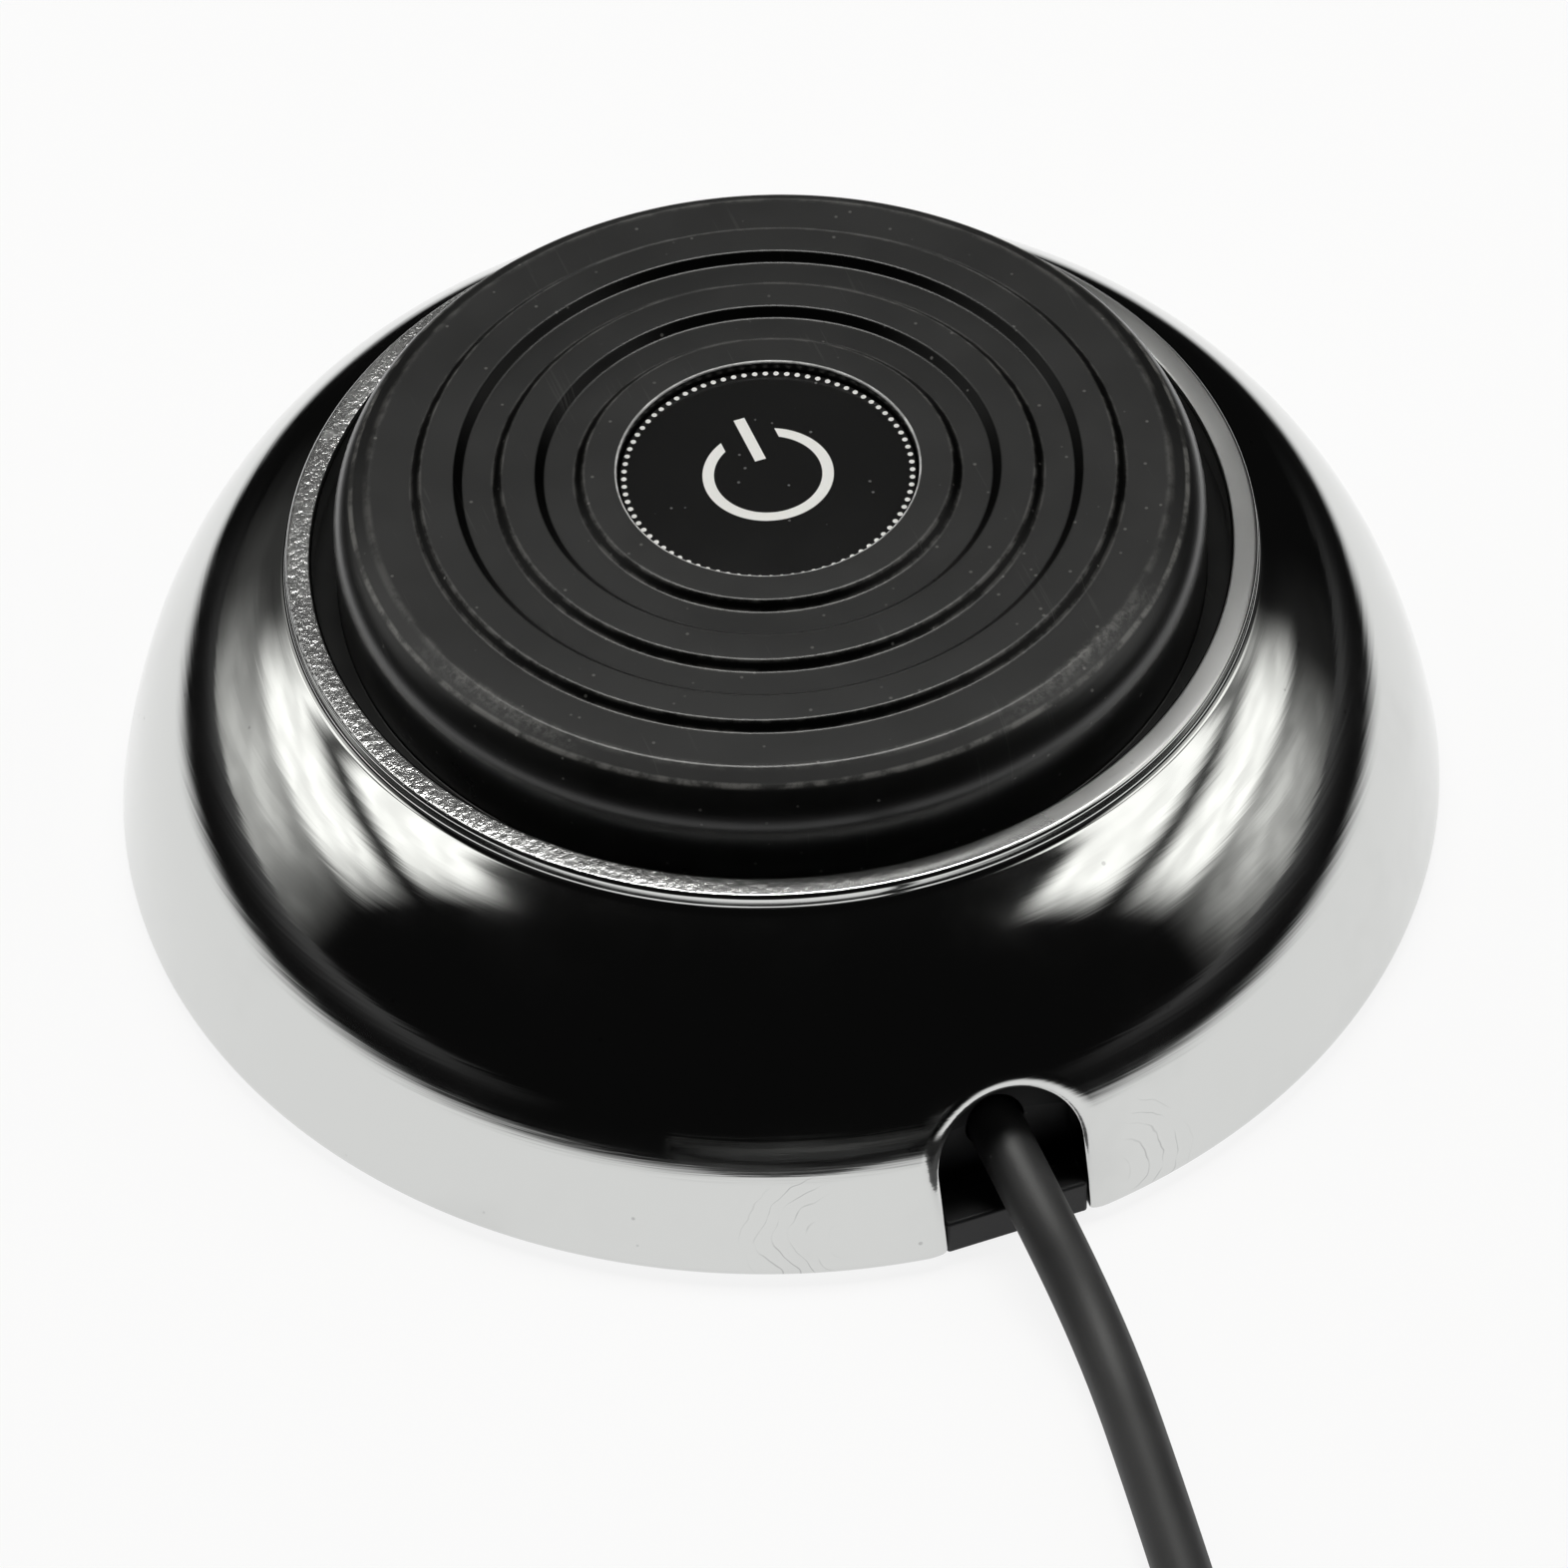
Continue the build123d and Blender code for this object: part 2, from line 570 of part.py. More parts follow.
# Switch case with its ears and plunger bore, and its cover
case_front_y = SWITCH_BACK_Y - SWITCH_CASE_DEPTH
switch_top_z = SWITCH_BOTTOM_Z + SWITCH_HEIGHT
switch_case = block(SWITCH_LEFT_X, switch_right_x, case_front_y, SWITCH_BACK_Y, SWITCH_BOTTOM_Z, switch_top_z)
for ear_y0 in (-SWITCH_BACK_Y, SWITCH_BACK_Y - EAR_THICKNESS):
    switch_case += block(
        LEVER_PIVOT_X - EAR_WIDTH / 2,
        LEVER_PIVOT_X + EAR_WIDTH / 2,
        ear_y0,
        ear_y0 + EAR_THICKNESS,
        switch_top_z,
        EAR_TOP_Z,
    )
switch_case -= along_y(
    LEVER_PIN_RADIUS + PIVOT_CLEARANCE,
    -SWITCH_BACK_Y - OVERRUN,
    SWITCH_BACK_Y + OVERRUN,
    LEVER_PIVOT_X,
    LEVER_PIVOT_Z,
)
switch_case -= Pos(PLUNGER_X, 0, 0) * rod(
    PLUNGER_RADIUS + PLUNGER_CLEARANCE,
    switch_top_z - PLUNGER_BORE_DEPTH,
    switch_top_z,
)
cover_front_y = case_front_y - SWITCH_COVER_DEPTH
switch_cover = block(
    SWITCH_LEFT_X,
    switch_right_x,
    cover_front_y,
    case_front_y,
    SWITCH_BOTTOM_Z,
    switch_top_z,
)
switch_cover = fillet(switch_cover.faces().sort_by(Axis.Y)[0].edges(), SWITCH_EDGE_ROUND)
for x in SWITCH_HOLE_X:
    switch_hole = along_y(
        switch_screw_hole_radius,
        cover_front_y - OVERRUN,
        SWITCH_BACK_Y + OVERRUN,
        x,
        SWITCH_HOLE_Z,
    )
    switch_case -= switch_hole
    switch_cover -= switch_hole
save(switch_case, "switch_case")
save(switch_cover, "switch_cover")

# Switch screws, one group
switch_screw = Rot(90, 0, 0) * screw(
    SWITCH_SCREW_SHANK_RADIUS,
    SWITCH_BACK_Y + SWITCH_SCREW_GRIP - cover_front_y,
    SWITCH_SCREW_HEAD_RADIUS,
    SWITCH_SCREW_HEAD_HEIGHT,
)
switch_screws = [Pos(x, cover_front_y, SWITCH_HOLE_Z) * switch_screw for x in SWITCH_HOLE_X]
save(Compound(children=switch_screws), "switch_screws")

# Lever with its eye and pins, tilted up at rest
lever = block(0, LEVER_REACH, -LEVER_WIDTH / 2, LEVER_WIDTH / 2, -LEVER_THICKNESS / 2, LEVER_THICKNESS / 2)
lever += along_y(LEVER_EYE_RADIUS, -LEVER_WIDTH / 2, LEVER_WIDTH / 2, 0, 0)
lever += along_y(LEVER_PIN_RADIUS, -SWITCH_BACK_Y, SWITCH_BACK_Y, 0, 0)
save(Pos(LEVER_PIVOT_X, 0, LEVER_PIVOT_Z) * Rot(0, -LEVER_REST_ANGLE, 0) * lever, "switch_lever")

# Plunger under the lever
plunger_top_z = (
    LEVER_PIVOT_Z
    + (PLUNGER_X - LEVER_PIVOT_X) * tan(radians(LEVER_REST_ANGLE))
    - LEVER_THICKNESS / 2 / cos(radians(LEVER_REST_ANGLE))
    - PLUNGER_CLEARANCE
)
plunger = rod(PLUNGER_RADIUS, plunger_top_z - PLUNGER_LENGTH, plunger_top_z)
plunger = fillet(plunger.edges().sort_by(Axis.Z)[-1], PLUNGER_ROUND)
save(Pos(PLUNGER_X, 0, 0) * plunger, "switch_plunger")

# Solder lugs
lug_y = (cover_front_y + SWITCH_BACK_Y) / 2
lug_front_y = lug_y - TERMINAL_WIDTH / 2
lug_hole_z = SWITCH_BOTTOM_Z - TERMINAL_LENGTH + TERMINAL_HOLE_UP
for x, name in zip(TERMINAL_X, ("terminal_common", "terminal_closed", "terminal_open")):
    lug = block(
        x - TERMINAL_THICKNESS / 2,
        x + TERMINAL_THICKNESS / 2,
        lug_front_y,
        lug_front_y + TERMINAL_WIDTH,
        SWITCH_BOTTOM_Z - TERMINAL_LENGTH,
        SWITCH_BOTTOM_Z,
    )
    lug -= Pos(x, lug_y, lug_hole_z) * Rot(0, 90, 0) * Cylinder(TERMINAL_HOLE_RADIUS, 2 * TERMINAL_THICKNESS)
    save(lug, name)

# Lead's clamp and its screws
cord_clamp = block(
    -CLAMP_LENGTH / 2,
    CLAMP_LENGTH / 2,
    clamp_y0,
    clamp_y1,
    CORD_EXIT_Z + CLAMP_GAP / 2,
    CLAMP_TOP_Z,
)
cord_clamp = fillet(cord_clamp.edges().filter_by(Axis.Z), CLAMP_EDGE_ROUND)
cord_clamp -= clamp_groove
clamp_screw = screw(
    CLAMP_SCREW_SHANK_RADIUS,
    CLAMP_TOP_Z - CLAMP_SCREW_BOTTOM_Z,
    CLAMP_SCREW_HEAD_RADIUS,
    CLAMP_SCREW_HEAD_HEIGHT,
)
clamp_screws = []
for x in (-CLAMP_SCREW_X, CLAMP_SCREW_X):
    clamp_hole = rod(CLAMP_SCREW_SHANK_RADIUS + SCREW_CLEARANCE, 0, CLAMP_TOP_Z + OVERRUN)
    cord_clamp -= Pos(x, clamp_y, 0) * clamp_hole
    clamp_screws.append(Pos(x, clamp_y, CLAMP_TOP_Z) * clamp_screw)
save(cord_clamp, "cord_clamp")
save(Compound(children=clamp_screws), "clamp_screws")

# Two cores from the lead's end to the lugs
wire_bend_y = cord_start_y + WIRE_STRAIGHT
lug_run_y = lug_front_y - WIRE_LUG_RUN
wire_end_y = lug_front_y - WIRE_LUG_GAP
seat_centre_x = spring_circle_radius * cos(radians(spring_angles[1]))
beside_seat_x = seat_centre_x + SEAT_RADIUS + WIRE_CLEARANCE + WIRE_RADIUS
wire_common = tube(
    (
        (-WIRE_HALF_SPACING, cord_start_y, CORD_EXIT_Z),
        (-WIRE_HALF_SPACING, wire_bend_y, CORD_EXIT_Z),
        (
            (beside_seat_x - WIRE_HALF_SPACING) / 2 + WIRE_BOW,
            (wire_bend_y + lug_run_y) / 2 + WIRE_BOW,
            (CORD_EXIT_Z + lug_hole_z) / 2,
        ),
        (beside_seat_x, lug_run_y, lug_hole_z),
        (TERMINAL_X[0], wire_end_y, lug_hole_z),
    ),
    WIRE_RADIUS,
    "wire_common",
)
save(wire_common, "wire_common")
wire_open = tube(
    (
        (WIRE_HALF_SPACING, cord_start_y, CORD_EXIT_Z),
        (WIRE_HALF_SPACING, wire_bend_y, CORD_EXIT_Z),
        (TERMINAL_X[2], lug_run_y - WIRE_LUG_RUN, lug_hole_z),
        (TERMINAL_X[2], wire_end_y, lug_hole_z),
    ),
    WIRE_RADIUS,
    "wire_open",
)
save(wire_open, "wire_open")

# Lead from inside the body to the coil
cord_route = [(0, cord_start_y, CORD_EXIT_Z), (0, ROUTE_MOUTH_INSIDE - body_radius, CORD_EXIT_Z)]
for x, past_body in ROUTE_OFFSETS:
    cord_route.append((x, -body_radius - past_body, CORD_RADIUS))
coil_outer_turn = COIL_MEAN_RADIUS + CORD_RADIUS * (COIL_COLUMNS - 1)
last_x = cord_route[-1][0] - COIL_CENTRE_X
last_y = cord_route[-1][1] - coil_centre_y
entry_angle = atan2(last_y, last_x) - acos(coil_outer_turn / hypot(last_x, last_y))
coil_entry = (
    COIL_CENTRE_X + coil_outer_turn * cos(entry_angle),
    coil_centre_y + coil_outer_turn * sin(entry_angle),
    CORD_RADIUS,
)
cord_lead = tube((*cord_route, coil_entry), CORD_RADIUS, "cord_lead")
save(cord_lead, "cord_lead")

# Coil of the lead's unseen length: the outer shape of its turns, with a tie round them
coil_centre = Pos(COIL_CENTRE_X, coil_centre_y, 0)
coil_width = 2 * CORD_RADIUS * COIL_COLUMNS
coil_height = 2 * CORD_RADIUS * COIL_LAYERS
coil_middle = Pos(COIL_MEAN_RADIUS, coil_height / 2)
coil_section = coil_middle * RectangleRounded(coil_width, coil_height, COIL_EDGE_ROUND)
cord_coil = revolve(Plane.XZ * coil_section, Axis.Z)
tie_inside = coil_middle * Rectangle(coil_width, coil_height)
tie_inside -= Pos(COIL_MEAN_RADIUS, TIE_THICKNESS / 2) * Rectangle(coil_width, TIE_THICKNESS)
tie_outside = Pos(COIL_MEAN_RADIUS, (coil_height + TIE_THICKNESS) / 2) * RectangleRounded(
    coil_width + 2 * TIE_THICKNESS,
    coil_height + TIE_THICKNESS,
    TIE_THICKNESS,
)
tie_section = tie_outside - tie_inside
coil_tie = Rot(0, 0, TIE_ANGLE - TIE_TURN / 2) * revolve(Plane.XZ * tie_section, Axis.Z, TIE_TURN)
cord_coil -= coil_tie
save(coil_centre * cord_coil, "cord_coil")
save(coil_centre * coil_tie, "coil_tie")


def on_coil(angle, out):
    """A point beside the coil's outer turn."""
    radius = coil_outer_turn + out
    return (
        COIL_CENTRE_X + radius * cos(radians(angle)),
        coil_centre_y + radius * sin(radians(angle)),
        TAIL_Z,
    )


# Lead from the coil into the plug
cord_tail = tube(
    (
        on_coil(TAIL_START_ANGLE, 0),
        on_coil(TAIL_MIDDLE_ANGLE, TAIL_MIDDLE_OUT),
        (PLUG_X, plug_rear_y + TAIL_STRAIGHT, TAIL_Z),
        (PLUG_X, plug_rear_y - HANDLE_CORD_DEPTH, TAIL_Z),
    ),
    CORD_RADIUS,
    "cord_tail",
)
save(cord_tail, "cord_tail")

# Plug, turned around its own axis and laid along -Y
plug_place = Pos(PLUG_X, plug_rear_y, TAIL_Z) * Rot(90, 0, 0)
handle_outline = Polyline(
    (0, 0),
    (HANDLE_REAR_RADIUS, 0),
    (HANDLE_RELIEF_RADIUS, HANDLE_RELIEF_LENGTH),
    (HANDLE_RADIUS, HANDLE_RELIEF_LENGTH),
    (HANDLE_RADIUS, HANDLE_LENGTH),
    (0, HANDLE_LENGTH),
    (0, 0),
)
plug_handle = turned(handle_outline)
plug_handle = fillet(plug_handle.edges().filter_by(GeomType.CIRCLE).sort_by(SortBy.RADIUS)[-2:], HANDLE_ROUND)
for i in range(GRIP_GROOVE_COUNT):
    groove_start = HANDLE_RELIEF_LENGTH + GRIP_START + GRIP_PITCH * i
    plug_handle -= ring_cut(HANDLE_RADIUS, GRIP_GROOVE_DEPTH, groove_start, GRIP_GROOVE_WIDTH)
relief_taper = (HANDLE_RELIEF_RADIUS - HANDLE_REAR_RADIUS) / HANDLE_RELIEF_LENGTH
for i in range(RELIEF_SLOT_COUNT):
    slot_start = RELIEF_SLOT_START + RELIEF_SLOT_PITCH * i
    slot_radius = HANDLE_REAR_RADIUS + relief_taper * slot_start
    plug_handle -= ring_cut(slot_radius, RELIEF_SLOT_DEPTH, slot_start, RELIEF_SLOT_WIDTH)
plug_handle -= rod(CORD_RADIUS, 0, HANDLE_CORD_DEPTH)
plug_handle -= rod(SHANK_RADIUS, HANDLE_LENGTH - HANDLE_SLEEVE_DEPTH, HANDLE_LENGTH)
save(plug_place * plug_handle, "plug_handle")
collar_end = HANDLE_LENGTH + COLLAR_LENGTH
sleeve_end = collar_end + SLEEVE_LENGTH
sleeve_start = HANDLE_LENGTH - HANDLE_SLEEVE_DEPTH
plug_sleeve = rod(SHANK_RADIUS, sleeve_start, HANDLE_LENGTH) + rod(COLLAR_RADIUS, HANDLE_LENGTH, collar_end)
plug_sleeve += rod(SLEEVE_RADIUS, collar_end, sleeve_end)
plug_sleeve -= rod(SLEEVE_BORE_RADIUS, sleeve_start, sleeve_end)
save(plug_place * plug_sleeve, "plug_sleeve")
insulator_end = sleeve_end + INSULATOR_LENGTH
plug_insulator = rod(SLEEVE_BORE_RADIUS, sleeve_start, insulator_end)
plug_insulator += rod(INSULATOR_RADIUS, sleeve_end, insulator_end)
plug_insulator -= rod(TIP_ROD_RADIUS, sleeve_start, insulator_end)
save(plug_place * plug_insulator, "plug_insulator")
tip_end = insulator_end + TIP_LENGTH
tip_outline = Polyline(
    (0, insulator_end),
    (TIP_HEAD_RADIUS, insulator_end),
    (TIP_HEAD_RADIUS, insulator_end + TIP_RING_END),
    (TIP_NECK_RADIUS, insulator_end + TIP_NECK_START),
    (TIP_NECK_RADIUS, insulator_end + TIP_NECK_END),
    (TIP_HEAD_RADIUS, insulator_end + TIP_HEAD_AT),
    (TIP_SHOULDER_RADIUS, insulator_end + TIP_SHOULDER_AT),
    (TIP_END_RADIUS, tip_end),
    (0, tip_end),
    (0, insulator_end),
)
plug_tip = turned(tip_outline) + rod(TIP_ROD_RADIUS, sleeve_start, insulator_end)
save(plug_place * plug_tip, "plug_tip")
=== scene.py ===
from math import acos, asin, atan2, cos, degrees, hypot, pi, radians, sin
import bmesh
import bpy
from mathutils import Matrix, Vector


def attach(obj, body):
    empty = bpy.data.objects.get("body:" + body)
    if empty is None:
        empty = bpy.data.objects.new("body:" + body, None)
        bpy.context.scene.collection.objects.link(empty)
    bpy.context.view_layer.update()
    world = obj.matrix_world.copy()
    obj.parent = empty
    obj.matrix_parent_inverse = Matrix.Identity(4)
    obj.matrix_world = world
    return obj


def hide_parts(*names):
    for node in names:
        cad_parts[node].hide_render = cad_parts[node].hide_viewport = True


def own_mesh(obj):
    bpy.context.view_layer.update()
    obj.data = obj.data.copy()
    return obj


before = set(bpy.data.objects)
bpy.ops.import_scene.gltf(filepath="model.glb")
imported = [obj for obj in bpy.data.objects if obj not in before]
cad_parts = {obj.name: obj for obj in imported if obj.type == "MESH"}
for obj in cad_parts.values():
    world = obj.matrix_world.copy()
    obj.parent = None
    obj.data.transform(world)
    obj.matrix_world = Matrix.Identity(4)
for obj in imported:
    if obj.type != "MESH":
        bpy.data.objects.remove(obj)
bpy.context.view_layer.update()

# %% [markdown]
# # A foot switch, dressed piece by piece
# The frame is loaded above: every working piece of the switch, at its real size, standing on the floor
# at z = 0 with the lead's outlet towards -Y. The lesson puts the camera and the lead in place first, then
# makes fine meshes for what the eye meets (the chrome body, the treadle, the label, the lead and its
# plug), and at the end gives every piece its finish and lights the scene.

MM = 0.001

# %% [markdown]
# ## The camera
# The switch is seen from above its front left, with a long lens, so its circles are nearly true ellipses.
# The place and angles come from matching those ellipses. A long lens far away keeps the flattened look that
# a short lens close by would lose. The pixel size of the picture isn't needed: the frame is square.

# %% Camera
CAMERA_PLACE = (-139.29 * MM, -410.99 * MM, 462.67 * MM)
CAMERA_ANGLES = (radians(43.095), radians(1.631), radians(-20.493))
CAMERA_LENS = 191.1
CAMERA_SENSOR = 36.0
CAMERA_NEAR = 10.0 * MM

camera_data = bpy.data.cameras.new("camera")
camera_data.lens = CAMERA_LENS
camera_data.sensor_width = CAMERA_SENSOR
camera_data.clip_start = CAMERA_NEAR
camera = bpy.data.objects.new("camera", camera_data)
camera.location = CAMERA_PLACE
camera.rotation_euler = CAMERA_ANGLES
bpy.context.scene.collection.objects.link(camera)
bpy.context.scene.camera = camera
print("camera is", round(camera.location.length, 3), "m from the middle of the pad")

# %% [markdown]
# ## The lead
# A round two-core lead leaves the outlet, drops to the floor and runs out of the picture. Its unseen
# length is put away as on a shelf: a neat coil of two layers, four turns wide, held by a tie, with the plug
# beside it. A lead could be a swept mesh, but one curve keeps it smooth and even all along, and its bevel
# gives the round section. The free stretches are listed points, and a loop works out the turns.

# %% Route of the lead: out of the outlet and over the floor
CORD_RADIUS = 2.125 * MM
CORD_ROUTE = [
    (0.0, -27.0 * MM, 8.0 * MM),
    (0.0, -49.5 * MM, 8.0 * MM),
    (1.45 * MM, -62.0 * MM, CORD_RADIUS),
    (-0.2 * MM, -76.0 * MM, CORD_RADIUS),
    (-3.0 * MM, -96.0 * MM, CORD_RADIUS),
]
print(len(CORD_ROUTE), "points from the clamp to the coil")

# %% Turns of the coil: down the columns in the lower layer, back up in the upper one
COIL_CENTRE = Vector((-38.5 * MM, -116.2 * MM))
COIL_MEAN_RADIUS = 25.5 * MM
COIL_COLUMNS = 4
POINTS_PER_TURN = 24
SHIFT_FROM_ANGLE = 100.0
RISE_INWARD = 2.4 * MM
TAIL_FROM_ANGLE = 70.0
TAIL_ROOM = 10.0
LOWER_Z = CORD_RADIUS
UPPER_Z = 3 * CORD_RADIUS

coil_outer_turn = COIL_MEAN_RADIUS + CORD_RADIUS * (COIL_COLUMNS - 1)
last_point = Vector(CORD_ROUTE[-1][:2]) - COIL_CENTRE
entry_angle = degrees(atan2(last_point.y, last_point.x) - acos(coil_outer_turn / last_point.length))
columns = [coil_outer_turn - 2 * CORD_RADIUS * i for i in range(COIL_COLUMNS)]
turn_starts = [(r, LOWER_Z) for r in columns] + [(r, UPPER_Z) for r in reversed(columns)]
control_reach = 1 / cos(pi / POINTS_PER_TURN)


def ease(t):
    """A smooth step from 0 to 1."""
    t = min(max(t, 0.0), 1.0)
    return t * t * (3 - 2 * t)


def polar(radius, angle):
    """The two coordinates of a point at a radius and an angle in degrees."""
    return radius * cos(radians(angle)), radius * sin(radians(angle))


def coil_place(reach, angle, z):
    """A place about the coil's middle."""
    x, y = polar(reach, angle)
    return (COIL_CENTRE.x + x, COIL_CENTRE.y + y, z)


coil_points = []
for turn, (radius, z) in enumerate(turn_starts):
    last = turn == len(turn_starts) - 1
    next_radius, next_z = (radius, z) if last else turn_starts[turn + 1]
    for i in range(POINTS_PER_TURN):
        angle = entry_angle - 360.0 * i / POINTS_PER_TURN
        shift = ease((SHIFT_FROM_ANGLE - 360 - angle) / (SHIFT_FROM_ANGLE - entry_angle))
        if last and angle < TAIL_FROM_ANGLE - 360 + TAIL_ROOM:
            break
        inward = RISE_INWARD * sin(pi * shift) if next_z > z else 0.0
        here = radius + (next_radius - radius) * shift - inward
        coil_points.append(coil_place(here * control_reach, angle, z + (next_z - z) * shift))
print(len(coil_points), "points in", len(turn_starts), "turns, from", round(entry_angle, 1), "degrees")

# %% End of the lead, from the coil into the plug
TAIL_Z = 6.5 * MM
PLUG_X = 2.0 * MM
PLUG_REAR_Y = -116.0 * MM
TAIL_MIDDLE_ANGLE = 46.0
TAIL_MIDDLE_OUT = 2.5 * MM
TAIL_STRAIGHT = 10.0 * MM
TAIL_DEPTH = 14.0 * MM

tail_points = [
    coil_place(coil_outer_turn, TAIL_FROM_ANGLE, TAIL_Z),
    coil_place(coil_outer_turn + TAIL_MIDDLE_OUT, TAIL_MIDDLE_ANGLE, TAIL_Z),
    (PLUG_X, PLUG_REAR_Y + TAIL_STRAIGHT, TAIL_Z),
    (PLUG_X, PLUG_REAR_Y - TAIL_DEPTH, TAIL_Z),
]
print(len(tail_points), "points from the coil into the plug")

# %% The lead as one curve
LEAD_ROUNDNESS = 5
LEAD_FINENESS = 8

lead_curve = bpy.data.curves.new("lead", "CURVE")
lead_curve.dimensions = "3D"
lead_curve.bevel_depth = 1.0  # one metre, because each point below carries the lead's own radius
lead_curve.bevel_resolution = LEAD_ROUNDNESS
lead_curve.resolution_u = LEAD_FINENESS
lead_curve.use_fill_caps = True
spline = lead_curve.splines.new("NURBS")
lead_points = [*CORD_ROUTE, *coil_points, *tail_points]
spline.points.add(len(lead_points) - 1)
for point, place in zip(spline.points, lead_points):
    point.co = (*place, 1.0)
    point.radius = CORD_RADIUS
spline.order_u = 3
spline.use_endpoint_u = True
lead = bpy.data.objects.new("lead", lead_curve)
bpy.context.scene.collection.objects.link(lead)

# %% [markdown]
# ## A pen for turned pieces
# Most of this switch is round, so most of its pieces start as an outline that is spun. The outline could
# be a list of points, but then a curve is only as good as the list. Instead one point is drawn along: a
# line is an extrude of that point, and an arc is a spin of it about the arc's centre. Spinning the whole
# outline about the piece's axis then gives its shape, and merging doubles closes the seam.

# %% Choosing pieces
def clear_selection():
    """Leaves edit mode and deselects everything, because an operator acts on all that is selected."""
    if bpy.context.object and bpy.context.object.mode != "OBJECT":
        bpy.ops.object.mode_set(mode="OBJECT")
    bpy.ops.object.select_all(action="DESELECT")


def pick(*pieces):
    """Selects these pieces alone, with the last one active."""
    clear_selection()
    for piece in pieces:
        piece.select_set(True)
    bpy.context.view_layer.objects.active = pieces[-1]


def put_place_in_mesh(piece):
    """Applies the piece's place, turn and scale, so that its own origin is the scene's."""
    pick(piece)
    bpy.ops.object.transform_apply(location=True, rotation=True, scale=True)


def edge_uses(piece):
    """How many faces use each edge."""
    uses = {}
    for face in piece.data.polygons:
        for key in face.edge_keys:
            uses[key] = uses.get(key, 0) + 1
    return uses


def settle(piece, smooth_angle=32.0):
    """Leaves edit mode, puts the piece's place into its mesh and smooths it up to an angle."""
    put_place_in_mesh(piece)
    bpy.ops.object.shade_smooth_by_angle(angle=radians(smooth_angle))
    open_edges = sum(1 for count in edge_uses(piece).values() if count != 2)
    print(piece.name, len(piece.data.polygons), "faces,", open_edges, "open edges")
    return piece


# %% The pen
SEAM = 0.001 * MM


def start_outline(name, x, z, y=0.0):
    """One point at a place, in edit mode: a plane is added and merged to its middle."""
    clear_selection()
    bpy.ops.mesh.primitive_plane_add(size=MM, location=(x, y, z), enter_editmode=True)
    bpy.ops.mesh.select_mode(type="VERT")
    bpy.ops.mesh.merge(type="CENTER")
    bpy.context.object.name = name
    return bpy.context.object


def pen_place(piece):
    """Where the pen is: the one selected point, in the scene."""
    points = [v.co for v in bmesh.from_edit_mesh(piece.data).verts if v.select]
    return piece.matrix_world @ points[0]


def line_to(piece, x, z):
    """A straight stretch to a point of the outline's plane."""
    here = pen_place(piece)
    bpy.ops.mesh.extrude_vertices_move(TRANSFORM_OT_translate={"value": (x - here.x, 0.0, z - here.z)})


def arc_about(piece, x, z, turn, steps):
    """A round stretch about a centre, with a turn in degrees, positive from +X towards +Z."""
    here = pen_place(piece)
    bpy.ops.mesh.spin(steps=steps, angle=radians(turn), center=(x, here.y, z), axis=(0.0, 1.0, 0.0))


def weld(distance=SEAM):
    """Merges the points of the edited mesh that lie this close."""
    bpy.ops.mesh.select_all(action="SELECT")
    bpy.ops.mesh.remove_doubles(threshold=distance)


def turn_outwards():
    """Turns all faces of the edited mesh outwards."""
    bpy.ops.mesh.select_all(action="SELECT")
    bpy.ops.mesh.normals_make_consistent(inside=False)


def spin_outline(piece, steps, centre=(0.0, 0.0, 0.0), turn=360.0):
    """Spins the whole outline about an upright axis, closes the seam and turns the faces outwards."""
    bpy.ops.mesh.select_all(action="SELECT")
    bpy.ops.mesh.spin(steps=steps, angle=radians(turn), center=centre, axis=(0.0, 0.0, 1.0))
    weld()
    turn_outwards()


# %% [markdown]
# ## The chrome body
# The body is a zinc casting, plated bright: a dome with a sharp raised lip round the treadle and one arched
# outlet for the lead. Chrome shows every flaw of the mesh under it, so the outlet isn't cut with a
# Boolean, whose ragged faces would show as dents. The dome is spun with a closed section, a window of
# whole faces is deleted where the outlet is, and a grid of points, rounded over at the edge, fills it.

# %% Section of the body
BODY_RADIUS = 50.0 * MM
BODY_BOTTOM = 0.4 * MM
BODY_WALL = 3.0 * MM
EDGE_ROUND = 1.02 * MM
WALL_DRAFT = 10.0
ARC_RADII = (60.0 * MM, 32.0 * MM, 20.0 * MM)
ARC_TURNS = (7.0, 20.0)
LIP_OUTER = 36.0 * MM
LIP_INNER = 34.0 * MM
LIP_TOP = 26.0 * MM
LIP_THICKNESS = 2.6 * MM
LIP_ROUND = 0.35 * MM
LIP_ROOT_ROUND = 0.8 * MM
BORE_RADIUS = 36.4 * MM

edge_centre = (BODY_RADIUS - EDGE_ROUND * cos(radians(WALL_DRAFT)), BODY_BOTTOM + EDGE_ROUND)
tilts = [WALL_DRAFT, WALL_DRAFT + ARC_TURNS[0], WALL_DRAFT + ARC_TURNS[0] + ARC_TURNS[1]]
arc_centres = []
x, z = BODY_RADIUS, edge_centre[1] + EDGE_ROUND * sin(radians(WALL_DRAFT))
for radius, tilt, next_tilt in zip(ARC_RADII, tilts, [*tilts[1:], 90.0]):
    across, up = polar(radius, tilt)
    arc_centres.append((x - across, z - up))
    across, up = polar(radius, next_tilt)
    x, z = arc_centres[-1][0] + across, arc_centres[-1][1] + up
lip_tilt = degrees(acos((LIP_OUTER + LIP_ROOT_ROUND - arc_centres[2][0]) / (ARC_RADII[2] + LIP_ROOT_ROUND)))
print("dome meets its lip at a slope of", round(lip_tilt, 1), "degrees")


def on_arc(index, tilt, inward=0.0):
    """A point of the section on one of the dome's arcs, or inside it by a wall."""
    across, up = polar(ARC_RADII[index] - inward, tilt)
    return arc_centres[index][0] + across, arc_centres[index][1] + up


